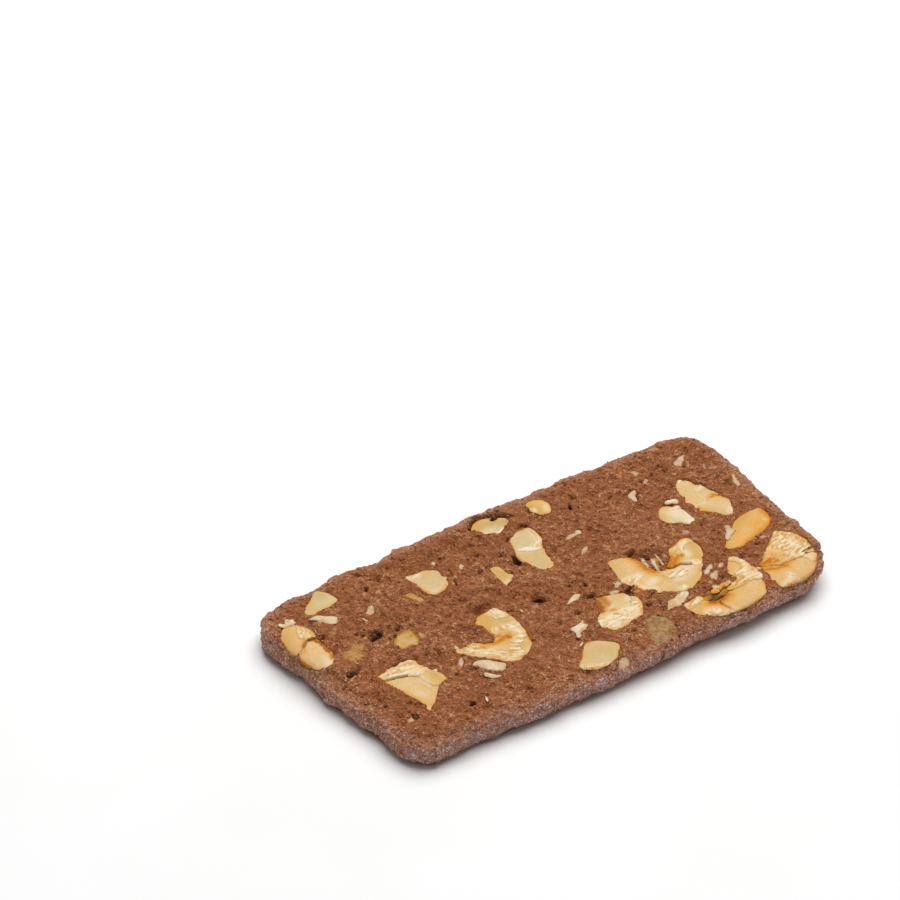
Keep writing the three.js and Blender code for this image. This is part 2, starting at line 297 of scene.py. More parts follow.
def makeStudio():
    scene = bpy.context.scene
    scene.view_settings.view_transform = "Standard"
    lens = bpy.data.cameras.new("camera")
    lens.angle = math.radians(studio["cameraAngle"])
    camera = bpy.data.objects.new("camera", lens)
    x, y, z = studio["cameraAt"]
    camera.location = Vector((x + drawingShift[0], y + drawingShift[1], z)) / perMetre
    camera.rotation_euler = (math.radians(90 - studio["cameraDown"]), 0, math.radians(studio["cameraTurn"]))
    scene.collection.objects.link(camera)
    scene.camera = camera
    world = bpy.data.worlds.new("studio")
    world.use_nodes = True
    sky = world.node_tree.nodes["Background"].inputs
    sky["Color"].default_value = (1, 1, 1, 1)
    sky["Strength"].default_value = studio["skyStrength"]
    scene.world = world
    lamp = bpy.data.lights.new("softbox", "AREA")
    lamp.shape = "DISK"
    lamp.size = studio["keySize"]
    lamp.energy = studio["keyPower"]
    softbox = bpy.data.objects.new("softbox", lamp)
    softbox.location = studio["keyAt"]
    softbox.rotation_euler = (-Vector(studio["keyAt"])).to_track_quat("-Z", "Y").to_euler()
    scene.collection.objects.link(softbox)
    bm = bmesh.new()
    bmesh.ops.create_grid(bm, x_segments=1, y_segments=1, size=studio["floorSize"])
    mesh = bpy.data.meshes.new("floor")
    bm.to_mesh(mesh)
    bm.free()
    paper = Finish("floor_paper")
    fleck = paper.grain(30, 2)
    shade = paper.blend(paper.span(fleck, 0.3, 0.7), tint(*studio["floorColour"], 1.0),
                        tint(*studio["floorFleck"], 1.0))
    mesh.materials.append(paper.done({"Base Color": shade, "Roughness": 0.9, "Specular IOR Level": 0.1}))
    floor = bpy.data.objects.new("floor", mesh)
    scene.collection.objects.link(floor)


makeStudio()
print("studio ready")

# Hazelnut pieces. outline runs round the cut face and rise is its height over the dough.
# warm goes from pale to toasted. flakes are torn areas with their lift and the turn of their fibres.
# lifts are raised areas. toast, ochre and pale are soft washes, skin and cracks are narrow:
# each is a line with its reach and its amount or depth.
# Some washes are painted light and shade; each is noted where it stands.
nutLook = {"voxel": 0.105, "relaxTimes": 2, "foot": 0.15, "taper": 0.82, "grow": 0.14, "sink": 0.1,
           "rimDrop": 0.06, "liftShare": 0.6, "fibre": 0.07, "dull": 0.0, "rimToast": 0.9, "ragged": 0.05}

nuts = {
    "nut_twin_upper": {
        "outline": [(-38.8, 8.2), (-38.5, 9.8), (-38.2, 11.6), (-37.5, 12.8), (-36.3, 13.3), (-34.9, 13.2),
                    (-34.2, 12.2), (-33.8, 10.8), (-33.9, 9.1), (-35.2, 9.35), (-36.2, 8.95), (-37.2, 8.0),
                    (-38.0, 7.5), (-38.4, 7.6)],
        "rise": 0.1, "warm": 0.78,
        "flakes": [([(-34.7, 13.4), (-35.4, 12.0), (-36.0, 10.9), (-36.1, 10.1), (-35.6, 9.3), (-34.9, 8.9),
                     (-33.6, 8.9), (-33.5, 10.0), (-33.6, 11.6)], 0.08, 30)],
        "toast": [([(-39.0, 8.1), (-38.6, 8.9)], 0.7, 0.5), ([(-34.3, 12.6), (-34.0, 11.6)], 0.5, 0.85),
                  ([(-34.1, 10.6), (-34.0, 9.6)], 0.35, 0.7)],
        "ochre": [([(-38.9, 8.2), (-38.2, 10.2), (-37.4, 12.2)], 1.3, 0.6),
                  ([(-35.4, 12.0), (-35.2, 10.4)], 0.9, 0.55)],
        "pale": [([(-35.2, 12.4), (-34.7, 11.2), (-35.0, 10.2)], 0.8, 0.3)],
        "skin": [([(-37.7, 7.7), (-37.1, 8.2), (-36.4, 8.9), (-35.6, 9.3)], 0.16, 0.5),
                 ([(-34.9, 13.2), (-34.1, 12.3), (-33.8, 11.2)], 0.25, 0.6)],
    },
    "nut_twin_lower": {
        "outline": [(-36.0, 9.2), (-35.1, 9.1), (-34.3, 8.8), (-34.0, 7.5), (-34.1, 5.5), (-34.8, 3.8),
                    (-35.7, 2.8), (-36.8, 2.6), (-37.6, 3.0), (-38.1, 4.2), (-38.5, 5.8), (-38.1, 7.3),
                    (-37.0, 8.5)],
        "rise": 0.1, "warm": 0.5,
        "lifts": [([(-36.0, 8.8), (-35.1, 8.6), (-34.9, 6.5), (-35.0, 4.4), (-35.8, 3.1), (-36.8, 2.9),
                    (-37.5, 3.4), (-37.8, 5.2), (-37.0, 6.9)], 0.1)],
        "toast": [([(-38.1, 5.2), (-37.6, 6.4)], 0.5, 0.4),
                  ([(-34.6, 8.9), (-34.2, 7.6), (-34.2, 5.6), (-34.8, 4.1)], 0.6, 1.0),
                  ([(-37.6, 6.8), (-36.8, 8.0), (-36.0, 8.9)], 0.35, 0.7)],
        "pale": [([(-35.4, 4.4), (-36.0, 3.2)], 0.7, 0.5)],
        "skin": [([(-36.6, 8.3), (-36.0, 9.0), (-35.3, 9.0), (-34.6, 8.5), (-34.3, 7.6), (-34.4, 6.4),
                   (-34.5, 5.2)], 0.4, 0.65), ([(-37.8, 7.2), (-36.9, 8.4)], 0.2, 0.5)],
    },
    "nut_triangle": {
        "outline": [(-28.5, 17.95), (-27.9, 17.6), (-27.3, 16.7), (-26.9, 15.5), (-26.8, 14.6),
                    (-27.1, 14.05), (-28.5, 13.9), (-30.6, 13.95), (-31.4, 13.7), (-32.1, 13.9),
                    (-32.2, 14.5), (-31.4, 15.5), (-30.5, 16.2), (-29.3, 17.3)],
        "rise": 0.0, "warm": 0.12, "olive": 0.42,
        "ochre": [([(-28.6, 17.6), (-28.2, 16.6)], 1.2, 0.5), ([(-31.9, 14.2), (-30.8, 15.4)], 0.8, 0.3)],
    },
    "nut_shield": {
        "outline": [(-32.1, -3.0), (-31.0, -2.9), (-30.4, -2.6), (-28.8, -2.4), (-27.5, -2.4),
                    (-26.6, -2.5), (-26.1, -3.2), (-26.0, -4.8), (-25.5, -5.1), (-25.3, -5.9),
                    (-24.9, -6.4), (-24.8, -7.2), (-24.8, -8.6), (-25.2, -8.9), (-26.3, -9.2),
                    (-27.1, -9.9), (-28.2, -11.2), (-29.3, -12.1), (-30.2, -12.8), (-30.5, -12.6),
                    (-30.3, -11.5), (-30.4, -10.2), (-30.9, -8.5), (-31.4, -6.8), (-31.9, -5.2),
                    (-32.0, -4.2)],
        "rise": 0.0, "warm": 0.55,
        "flakes": [([(-32.3, -4.3), (-32.3, -2.7), (-30.4, -2.4), (-26.4, -2.3), (-25.8, -4.8),
                     (-25.2, -5.8), (-26.5, -6.0), (-27.9, -5.9), (-28.8, -5.1), (-30.2, -4.6),
                     (-31.6, -4.35)], 0.3, -8)],
        "lifts": [([(-27.6, -6.0), (-26.4, -6.0), (-25.2, -6.1), (-24.6, -7.5), (-24.7, -8.9),
                    (-26.4, -9.3), (-27.2, -9.0), (-27.5, -7.5)], 0.26)],
        "cracks": [([(-31.7, -4.3), (-30.2, -4.6), (-28.8, -5.1)], 0.15, 0.4)],
        "toast": [([(-31.7, -5.6), (-31.3, -7.2), (-30.8, -8.6)], 0.6, 0.45),
                  ([(-25.0, -6.9), (-25.0, -8.4)], 0.6, 0.4)],
        "ochre": [([(-25.4, -6.6), (-25.5, -8.4)], 1.0, 0.6), ([(-30.2, -11.0), (-29.6, -11.9)], 0.9, 0.4)],
        "pale": [([(-29.6, -9.0), (-29.3, -9.6)], 0.6, 0.35), ([(-30.3, -12.4), (-30.1, -12.6)], 0.4, 0.6),
                 # The pale line at x -27.4 is a painted highlight on the lifted flake's left edge.
                 ([(-27.4, -6.6), (-27.4, -8.6)], 0.3, 0.6),
                 ([(-31.2, -3.5), (-29.5, -3.6), (-27.4, -3.7)], 1.0, 0.7)],
    },
    "nut_block": {
        "outline": [(-16.4, 13.0), (-16.1, 13.35), (-15.0, 13.1), (-14.0, 13.2), (-12.9, 13.0),
                    (-12.1, 12.6), (-11.6, 12.0), (-11.6, 11.4), (-11.8, 10.6), (-11.5, 10.1), (-11.9, 9.2),
                    (-12.3, 8.4), (-12.9, 7.75), (-13.9, 7.6), (-14.9, 7.65), (-15.4, 8.0), (-15.8, 8.7),
                    (-16.0, 9.5), (-16.0, 10.5), (-16.3, 11.8)],
        "rise": 0.0, "warm": 0.28, "olive": 0.18,
        "flakes": [([(-16.7, 11.9), (-16.4, 13.6), (-15.0, 13.3), (-14.2, 12.8), (-14.5, 12.4),
                     (-15.6, 12.0)], 0.15, 20),
                   ([(-11.3, 10.2), (-11.9, 10.1), (-12.5, 8.9), (-12.9, 8.2), (-12.5, 8.0), (-11.7, 9.0)],
                    0.1, 60), ([(-15.6, 7.9), (-14.0, 7.9), (-13.0, 7.9), (-13.0, 7.4), (-15.0, 7.4)],
                               0.05, 0)],
        "toast": [([(-16.1, 9.4), (-15.6, 8.6)], 0.45, 0.8)],
        "ochre": [([(-14.0, 12.6), (-12.6, 12.0), (-12.2, 10.8)], 1.2, 0.35)],
        "pale": [([(-16.0, 12.5), (-14.6, 12.6)], 0.5, 0.8), ([(-15.2, 8.4), (-13.6, 8.0)], 0.6, 0.4)],
    },
    "nut_sunken": {
        "outline": [(-1.9, 17.1), (-1.0, 18.1), (0.0, 18.75), (1.2, 18.7), (2.4, 18.2), (3.5, 17.5),
                    (4.2, 16.9), (4.3, 16.2), (3.6, 15.5), (2.6, 15.0), (1.8, 14.6), (1.0, 14.1),
                    (0.6, 13.9), (0.3, 14.5), (-0.8, 14.9), (-1.3, 15.6), (-1.6, 16.2)],
        "rise": -0.85, "warm": 0.22, "olive": 0.4,
        "flakes": [([(0.8, 15.0), (1.9, 15.2), (2.9, 15.3), (1.7, 14.4), (0.9, 14.0)], 0.06, 20)],
        "toast": [([(-1.5, 15.9), (-0.9, 15.1), (0.2, 14.6)], 0.5, 0.4)],
        # The ochre band along the far edge is painted shade where the nut lies under the dough's edge.
        "ochre": [([(-1.4, 17.2), (0.2, 17.9), (2.4, 17.2), (3.7, 16.3)], 1.0, 0.9)],
        "pale": [([(-0.6, 15.8), (0.6, 15.6)], 0.8, 0.4), ([(1.4, 14.8), (2.4, 15.1)], 0.4, 0.8)],
    },
    "nut_pear": {
        "outline": [(0.7, 11.4), (1.1, 11.9), (1.9, 12.3), (3.0, 12.8), (4.0, 12.95), (5.0, 12.9),
                    (5.2, 12.3), (5.3, 11.3), (5.2, 10.3), (5.1, 9.3), (4.6, 8.7), (4.1, 8.0), (3.7, 7.0),
                    (3.2, 5.8), (3.1, 4.8), (3.0, 4.0), (2.6, 3.4), (1.9, 3.1), (1.0, 3.2), (0.3, 3.9),
                    (0.1, 4.8), (0.0, 5.7), (-0.4, 6.7), (-0.4, 7.7), (-0.2, 8.8), (0.1, 9.7), (0.3, 10.5)],
        "rise": -0.1, "warm": 0.3, "olive": 0.25,
        "flakes": [([(-0.3, 9.2), (0.7, 9.35), (1.8, 9.35), (3.0, 9.3), (4.2, 9.5), (4.6, 10.5),
                     (4.7, 11.5), (4.8, 13.1), (5.4, 12.8), (5.5, 11.2), (5.3, 9.4), (4.7, 8.6), (4.1, 8.0),
                     (3.6, 7.3), (2.6, 7.5), (1.7, 7.9), (1.0, 8.6), (0.2, 8.9)], 0.12, 10)],
        "lifts": [([(-0.6, 9.3), (1.8, 9.4), (4.2, 9.6), (4.6, 13.2), (0.0, 13.2)], 0.12)],
        "ochre": [([(2.6, 7.4), (1.6, 6.4), (1.4, 4.4)], 1.4, 0.35), ([(3.0, 6.6), (3.6, 7.3)], 0.6, 0.4)],
        "pale": [([(0.5, 9.1), (2.6, 8.7), (4.2, 9.0), (4.9, 10.4), (5.1, 12.4)], 0.6, 0.7),
                 ([(1.6, 8.3), (3.2, 7.9)], 0.5, 0.7)],
    },
    "nut_half": {
        "outline": [(-8.5, -17.3), (-8.0, -16.6), (-7.2, -15.9), (-6.2, -14.8), (-5.3, -13.9),
                    (-4.6, -13.4), (-3.7, -13.7), (-2.8, -14.2), (-1.9, -14.9), (-1.3, -15.6),
                    (-1.1, -16.4), (-1.6, -17.1), (-2.2, -17.6), (-2.9, -18.2), (-3.8, -18.6),
                    (-4.9, -18.85), (-6.0, -18.85), (-7.0, -18.7), (-7.7, -18.2), (-8.3, -17.8)],
        "rise": 0.08, "warm": 0.36, "olive": 0.22,
        "flakes": [([(-8.7, -17.3), (-7.8, -17.1), (-7.4, -17.9), (-6.4, -18.2), (-5.2, -18.3),
                     (-4.4, -18.9), (-6.0, -19.1), (-7.8, -18.6), (-8.6, -17.9)], 0.08, 20)],
        "ochre": [([(-6.0, -16.2), (-4.4, -15.2), (-2.6, -16.0)], 1.6, 0.3)],
        "pale": [([(-8.0, -17.6), (-6.6, -18.4), (-5.2, -18.6)], 0.5, 0.7)],
        "skin": [([(-7.6, -16.2), (-6.4, -15.0), (-5.6, -14.1)], 0.14, 0.5)],
    },
    "nut_split": {
        "outline": [(2.0, -6.8), (2.3, -6.2), (3.0, -6.0), (4.0, -6.3), (5.0, -6.7), (6.0, -6.9),
                    (6.6, -7.3), (6.9, -8.1), (7.2, -8.8), (7.5, -9.6), (7.4, -10.5), (7.0, -11.3),
                    (6.3, -12.3), (5.7, -13.0), (4.8, -13.0), (3.6, -13.1), (2.6, -13.6), (1.4, -13.7),
                    (0.4, -13.6), (-0.3, -13.1), (-0.9, -12.4), (-0.9, -11.6), (-0.4, -10.7), (0.0, -10.0),
                    (0.6, -9.4), (1.3, -9.0), (1.6, -8.0), (1.7, -7.4)],
        "rise": -0.2, "warm": 0.4,
        "flakes": [([(-1.1, -12.4), (-0.5, -10.5), (0.2, -9.7), (1.0, -9.2), (2.0, -9.3), (3.0, -10.2),
                     (4.2, -10.3), (5.6, -10.4), (6.3, -9.3), (6.8, -8.7), (7.5, -9.0), (7.7, -10.3),
                     (6.9, -11.7), (5.7, -13.2), (3.6, -13.3), (1.4, -13.9), (-0.4, -13.4)], 0.34, -6),
                   ([(2.0, -9.1), (3.8, -8.5), (3.6, -9.1), (2.7, -9.7), (2.0, -9.5)], 0.2, 20)],
        "toast": [([(2.2, -6.6), (2.1, -7.6), (1.6, -8.6)], 1.4, 1.0),
                  ([(3.4, -6.6), (3.2, -7.8)], 1.2, 0.85), ([(4.4, -7.4), (4.6, -8.2)], 1.0, 0.35),
                  # The narrow wash at (2.6, -9.6) to (3.4, -9.75) is a painted shadow under the small
                  # flake.
                  ([(2.6, -9.6), (3.4, -9.75)], 0.35, 0.8), ([(5.8, -12.7), (6.6, -11.8)], 0.5, 0.6),
                  ([(0.4, -10.2), (1.6, -9.8)], 0.5, 0.4)],
        "ochre": [([(5.6, -7.4), (6.4, -8.2)], 0.9, 0.4)],
        "pale": [([(6.6, -8.8), (7.2, -9.6)], 0.7, 0.8), ([(2.2, -9.0), (3.6, -8.7)], 0.35, 0.7),
                 ([(0.0, -12.6), (3.0, -12.4), (5.6, -11.4)], 1.5, 0.7)],
        "skin": [([(2.2, -6.5), (1.9, -7.8), (1.5, -8.9)], 0.9, 0.75),
                 ([(2.8, -6.6), (2.8, -7.8)], 1.5, 0.5)],
    },
    "nut_double": {
        "outline": [(29.2, 9.2), (29.8, 9.5), (30.4, 9.2), (30.9, 8.7), (31.2, 8.0), (31.3, 7.2),
                    (31.8, 6.8), (32.0, 6.1), (32.1, 5.2), (32.4, 4.4), (32.5, 3.6), (32.3, 2.9),
                    (32.4, 2.2), (32.8, 1.5), (32.6, 0.7), (32.1, 0.0), (31.7, -0.7), (31.2, -1.5),
                    (30.8, -2.0), (30.3, -1.9), (29.8, -1.3), (29.3, -0.4), (28.6, 0.3), (28.0, 1.0),
                    (27.5, 1.4), (27.9, 2.0), (27.4, 2.4), (27.5, 3.0), (27.7, 3.6), (27.1, 4.2),
                    (27.4, 4.8), (27.8, 5.4), (27.9, 6.5), (28.1, 7.6), (28.6, 8.5)],
        "rise": -0.1, "warm": 0.42,
        "lifts": [([(27.0, 2.85), (30.0, 2.9), (30.6, 3.05), (31.3, 2.8), (33.0, 2.75), (33, -2.5),
                    (27, -2.5)], 0.4)],
        "flakes": [([(28.6, 8.7), (29.8, 8.4), (30.6, 8.2), (31.0, 8.8), (29.8, 9.8)], 0.1, 30),
                   ([(30.2, 6.0), (31.2, 6.3), (32.2, 6.2), (31.9, 7.0), (31.3, 6.9)], 0.12, 20),
                   ([(30.4, -1.6), (31.2, -0.8), (32.0, -0.5), (31.4, -1.6), (30.9, -2.2)], 0.08, 40),
                   ([(27.3, 2.9), (29.9, 2.9), (30.6, 3.0), (30.4, 2.6), (28.6, 2.4), (27.4, 2.2)],
                    0.05, 0)],
        "toast": [([(31.2, 3.4), (31.9, 3.7), (32.3, 3.0)], 0.8, 0.95),
                  ([(32.4, 2.6), (32.5, 2.2)], 0.4, 0.6), ([(30.8, 5.4), (31.8, 5.2)], 0.9, 0.4),
                  ([(31.0, 2.4), (32.0, 1.9)], 0.9, 0.4), ([(28.4, 3.2), (30.0, 3.1)], 0.35, 0.35)],
        "ochre": [([(28.4, 4.6), (28.6, 6.2), (29.4, 7.6)], 1.0, 0.3),
                  ([(29.4, 9.0), (30.0, 8.8)], 0.6, 0.4),
                  ([(28.2, 1.4), (29.4, 0.4), (30.4, -1.4)], 0.8, 0.4)],
        "pale": [([(30.8, 6.1), (31.8, 6.4)], 0.5, 0.9), ([(29.0, 8.6), (30.6, 8.4)], 0.5, 0.6),
                 ([(27.6, 2.7), (29.6, 2.75)], 0.35, 0.8), ([(30.8, -1.1), (31.7, -0.6)], 0.4, 0.7)],
    },
    "nut_pale": {
        "outline": [(21.7, 3.2), (22.0, 4.0), (22.5, 4.7), (23.1, 5.2), (23.9, 5.4), (24.5, 5.1),
                    (25.0, 4.5), (25.6, 4.6), (25.9, 4.2), (25.6, 3.6), (25.7, 2.8), (25.7, 1.8),
                    (25.6, 0.7), (25.4, 0.1), (24.8, 0.1), (24.2, -0.15), (23.9, 0.5), (23.6, 1.0),
                    (22.8, 1.4), (22.1, 1.9), (21.8, 2.4)],
        "rise": 0.12, "warm": 0.06,
        "lifts": [([(23.0, 1.6), (23.2, 3.2), (24.0, 3.9), (26.0, 4.3), (26, -0.4), (23.6, -0.4)], 0.12)],
        "flakes": [([(24.3, 4.2), (25.2, 4.4), (26.1, 4.5), (25.7, 3.6), (24.8, 3.6)], 0.1, 20),
                   ([(23.8, 0.6), (25.7, 0.7), (25.7, -0.3), (24.0, -0.4)], 0.08, 10)],
        "ochre": [([(22.2, 3.0), (22.8, 4.6), (23.9, 5.0)], 0.9, 0.55),
                  ([(23.0, 2.9), (23.1, 3.6)], 0.4, 0.3)],
        "pale": [([(24.6, 4.2), (25.6, 4.2)], 0.6, 0.8), ([(24.4, 0.4), (25.3, 1.0)], 0.8, 0.5)],
    },
    "nut_leaf": {
        "outline": [(24.9, -7.4), (25.6, -6.6), (26.2, -6.1), (27.0, -5.6), (28.0, -5.0), (28.8, -4.3),
                    (29.7, -3.6), (30.7, -3.1), (31.8, -2.8), (33.0, -2.7), (34.2, -2.8), (35.0, -3.0),
                    (35.1, -3.8), (35.0, -4.6), (34.8, -5.4), (34.4, -6.1), (33.6, -6.7), (32.4, -7.2),
                    (31.2, -7.6), (30.0, -7.9), (28.8, -8.2), (27.8, -8.5), (26.9, -8.6), (26.0, -8.4),
                    (25.2, -8.0)],
        "rise": 0.12, "warm": 0.9,
        "toast": [
                 ([(35.0, -3.4), (34.8, -5.0), (34.2, -6.2), (32.4, -7.1), (30.2, -7.8), (27.6, -8.5)],
                  0.9, 0.8),
                 ([(33.8, -4.2), (33.4, -5.6), (31.8, -5.8)], 1.9, 0.5),
                 ([(32.6, -2.8), (34.6, -2.9)], 0.5, 0.45), ([(25.0, -7.4), (26.2, -6.3)], 0.5, 0.6)],
        "ochre": [([(28.6, -4.7), (30.4, -3.6), (31.8, -3.1)], 1.0, 1.0),
                  ([(25.4, -7.6), (26.4, -7.4)], 0.8, 0.4)],
        # The small pale spot is a painted glint.
        "pale": [([(33.8, -5.5), (34.0, -5.7)], 0.35, 0.9)],
    },
    "nut_fan": {
        "outline": [(26.1, -13.5), (26.8, -13.2), (27.4, -12.9), (28.5, -11.9), (29.5, -11.1),
                    (30.6, -10.4), (31.6, -9.6), (32.6, -8.8), (33.3, -8.6), (33.8, -9.0), (34.5, -9.8),
                    (35.0, -10.8), (35.4, -11.8), (35.6, -12.8), (35.4, -13.8), (35.2, -14.6),
                    (34.9, -15.3), (34.6, -16.2), (33.9, -17.1), (33.1, -18.0), (32.0, -18.8),
                    (30.8, -19.3), (29.4, -19.6), (27.7, -19.55), (26.2, -19.3), (25.7, -19.0),
                    (25.6, -18.0), (25.5, -17.0), (25.8, -16.2), (25.9, -15.3), (26.0, -14.4)],
        "rise": -0.15, "warm": 0.62,
        "flakes": [([(25.9, -13.9), (27.2, -14.5), (28.0, -15.0), (28.5, -15.5), (29.4, -15.4),
                     (30.4, -15.2), (31.5, -15.4), (32.5, -15.6), (33.3, -15.2), (34.4, -14.6),
                     (35.0, -13.6), (35.8, -12.6), (35.2, -10.5), (33.8, -8.6), (32.4, -8.5), (29.5, -10.9),
                     (27.4, -12.7), (26.0, -13.3)], 0.36, 4),
                   ([(25.5, -19.4), (26.5, -18.9), (27.5, -18.8), (28.4, -18.2), (28.1, -17.3),
                     (28.9, -18.0), (29.0, -19.0), (28.8, -20.1), (26.2, -19.8)], 0.1, 30)],
        "lifts": [([(32.6, -15.6), (33.6, -15.4), (34.6, -15.4), (34.8, -16.2), (34.0, -17.1),
                    (33.3, -17.4), (32.8, -17.1), (32.7, -16.3)], 0.25)],
        "toast": [([(26.3, -13.6), (27.2, -13.9), (28.6, -14.2)], 1.5, 0.85),
                  ([(26.2, -14.8), (27.2, -15.2), (28.2, -15.6), (29.4, -15.7)], 0.9, 0.9),
                  ([(26.4, -15.6), (27.6, -16.1), (29.0, -16.2)], 0.9, 0.55),
                  ([(29.4, -15.6), (31.0, -15.5)], 0.5, 0.7),
                  ([(29.0, -12.4), (30.0, -13.6), (29.6, -14.4)], 1.4, 0.55),
                  ([(28.2, -12.2), (29.6, -11.2), (31.2, -10.2)], 0.5, 0.35)],
        "ochre": [([(31.8, -12.6), (32.8, -12.9)], 0.5, 0.6),
                  ([(34.4, -14.5), (34.9, -13.8), (35.2, -12.6)], 0.6, 0.6),
                  ([(32.4, -17.0), (33.2, -17.6)], 0.7, 0.4), ([(32.6, -9.4), (33.4, -9.6)], 0.6, 0.4),
                  ([(26.2, -17.0), (26.4, -18.2)], 0.8, 0.3)],
        "pale": [([(33.2, -11.6), (34.4, -12.8), (33.6, -14.2)], 1.3, 0.4),
                 ([(28.4, -17.6), (27.9, -18.4), (26.4, -18.9), (26.0, -19.4)], 0.55, 0.8),
                 ([(27.2, -19.3), (28.8, -19.6)], 0.5, 0.7),
                 ([(33.2, -15.9), (34.0, -16.2), (33.0, -16.8)], 0.6, 0.5)],
    },
    "nut_crescent_left": {
        "outline": [(-20.2, -4.5), (-19.3, -4.7), (-18.3, -4.6), (-17.4, -4.5), (-16.7, -5.1),
                    (-15.8, -5.6), (-15.0, -5.9), (-14.4, -5.4), (-14.0, -4.5), (-13.9, -3.0),
                    (-13.9, -2.0), (-14.4, -1.3), (-13.9, -0.6), (-13.4, 0.0), (-12.4, 0.1), (-11.5, 0.1),
                    (-10.7, 0.3), (-10.1, -0.2), (-9.7, -1.2), (-9.4, -2.6), (-9.5, -4.3), (-9.7, -6.0),
                    (-10.1, -7.5), (-10.6, -8.8), (-11.3, -9.7), (-12.3, -10.4), (-13.5, -11.0),
                    (-14.4, -11.3), (-15.2, -11.0), (-16.0, -10.4), (-16.9, -9.2), (-17.9, -8.0),
                    (-19.0, -6.9), (-19.7, -6.0), (-20.2, -5.3)],
        "rise": 0.05, "warm": 0.5,
        "flakes": [([(-20.5, -4.2), (-17.2, -4.3), (-16.2, -5.6), (-15.0, -6.8), (-13.2, -6.9),
                     (-12.2, -6.0), (-11.8, -4.4), (-11.5, -4.0), (-10.0, -3.9), (-9.3, -4.1), (-9.6, -6.5),
                     (-10.2, -7.4), (-11.6, -8.2), (-12.9, -9.4), (-12.6, -10.2), (-13.4, -11.2),
                     (-14.6, -11.6), (-16.2, -10.6), (-18.0, -8.2), (-20.5, -5.4)], 0.2, -44),
                   ([(-13.9, -3.4), (-12.6, -3.0), (-11.6, -3.9), (-12.0, -5.8), (-13.8, -5.4)], 0.12, 60),
                   ([(-11.9, -2.2), (-11.2, 0.4), (-10.0, 0.2), (-9.3, -1.4), (-9.3, -2.6), (-10.6, -2.4)],
                    0.12, -60)],
        "cracks": [([(-14.1, -4.6), (-14.4, -5.3), (-15.0, -5.8)], 0.2, 0.35)],
        "toast": [([(-16.3, -5.7), (-15.2, -6.1), (-14.2, -6.2), (-13.2, -6.0), (-12.4, -5.9)], 1.2, 0.95),
                  ([(-14.2, -5.3), (-13.4, -5.1), (-12.4, -5.1)], 0.8, 0.8),
                  ([(-14.3, -1.3), (-13.8, -2.2), (-13.7, -3.0)], 1.1, 0.6),
                  ([(-14.9, -7.6), (-13.5, -7.6), (-12.6, -7.2)], 0.7, 0.4),
                  ([(-17.0, -5.4), (-16.4, -6.4)], 0.7, 0.4)],
        "ochre": [([(-13.7, -0.3), (-13.2, -1.2), (-13.0, -2.4)], 1.4, 0.9),
                  ([(-11.3, -2.6), (-10.5, -3.2), (-9.9, -2.4)], 0.9, 0.7),
                  ([(-12.9, -9.2), (-11.7, -8.6), (-10.6, -7.9)], 0.8, 0.8),
                  ([(-14.3, -10.4), (-13.9, -10.7)], 0.8, 0.5), ([(-11.8, -1.4), (-10.5, -1.3)], 0.7, 0.4),
                  ([(-12.5, -0.6), (-12.4, -1.9)], 1.0, 0.85)],
        "pale": [([(-11.2, -0.1), (-10.4, -0.6)], 0.7, 0.9),
                 ([(-19.6, -5.2), (-18.2, -6.9), (-16.6, -8.6), (-15.2, -9.8)], 1.0, 0.5),
                 ([(-11.2, -4.6), (-10.6, -6.0), (-11.6, -7.4)], 0.9, 0.6)],
    },
    "nut_crescent_middle": {
        "outline": [(9.1, -0.6), (10.2, -0.6), (11.2, -0.9), (12.2, -1.5), (12.8, -2.3), (13.0, -3.2),
                    (12.9, -4.4), (13.1, -5.3), (13.5, -6.0), (14.0, -6.6), (14.7, -6.7), (15.1, -6.3),
                    (15.6, -5.9), (16.4, -5.2), (17.2, -4.4), (17.6, -3.6), (18.0, -3.1), (18.9, -3.1),
                    (19.6, -2.8), (20.3, -2.4), (21.2, -2.2), (21.9, -2.6), (22.1, -3.4), (22.3, -4.6),
                    (22.2, -5.4), (21.8, -6.4), (21.2, -7.2), (20.3, -8.0), (19.6, -8.8), (18.9, -9.4),
                    (18.4, -10.2), (17.6, -10.9), (16.6, -11.6), (15.4, -12.1), (14.3, -12.2),
                    (13.3, -11.9), (12.5, -11.2), (11.5, -10.6), (10.5, -10.2), (10.5, -9.6), (9.8, -9.2),
                    (9.1, -8.8), (8.8, -7.9), (8.7, -7.0), (8.3, -6.4), (7.9, -5.7), (7.6, -4.9),
                    (8.1, -4.2), (8.5, -3.0), (8.8, -1.6)],
        "rise": 0.05, "warm": 0.5,
        "flakes": [([(7.6, -5.2), (9.2, -5.4), (10.8, -5.6), (11.4, -5.9), (10.2, -6.6), (9.4, -7.6),
                     (9.6, -8.6), (10.6, -9.5), (8.9, -9.0), (8.5, -7.5), (7.9, -6.3)], 0.12, 10),
                   ([(17.9, -3.0), (19.3, -2.8), (21.2, -2.0), (22.3, -2.6), (22.2, -3.6), (20.8, -3.8),
                     (19.6, -4.6), (19.2, -5.6), (18.4, -5.8), (17.9, -4.6), (17.5, -3.8)], 0.16, 20),
                   ([(18.3, -6.6), (19.3, -6.9), (20.0, -7.4), (19.8, -8.8), (18.9, -8.6), (18.6, -7.6)],
                    0.12, 50), ([(13.2, -11.2), (14.4, -10.8), (15.2, -11.6), (14.6, -12.4), (13.3, -12.1)],
                                0.06, 20),
                   ([(13.6, -7.6), (15.0, -7.4), (16.6, -7.6), (17.6, -8.4), (16.8, -9.4), (15.2, -9.2),
                     (13.9, -9.0)], 0.06, 10)],
        "lifts": [([(8.0, -5.3), (9.2, -5.2), (11.0, -5.5), (12.8, -6.0), (13.6, -5.0), (13.6, -0.2),
                    (8.2, -0.2)], 0.12),
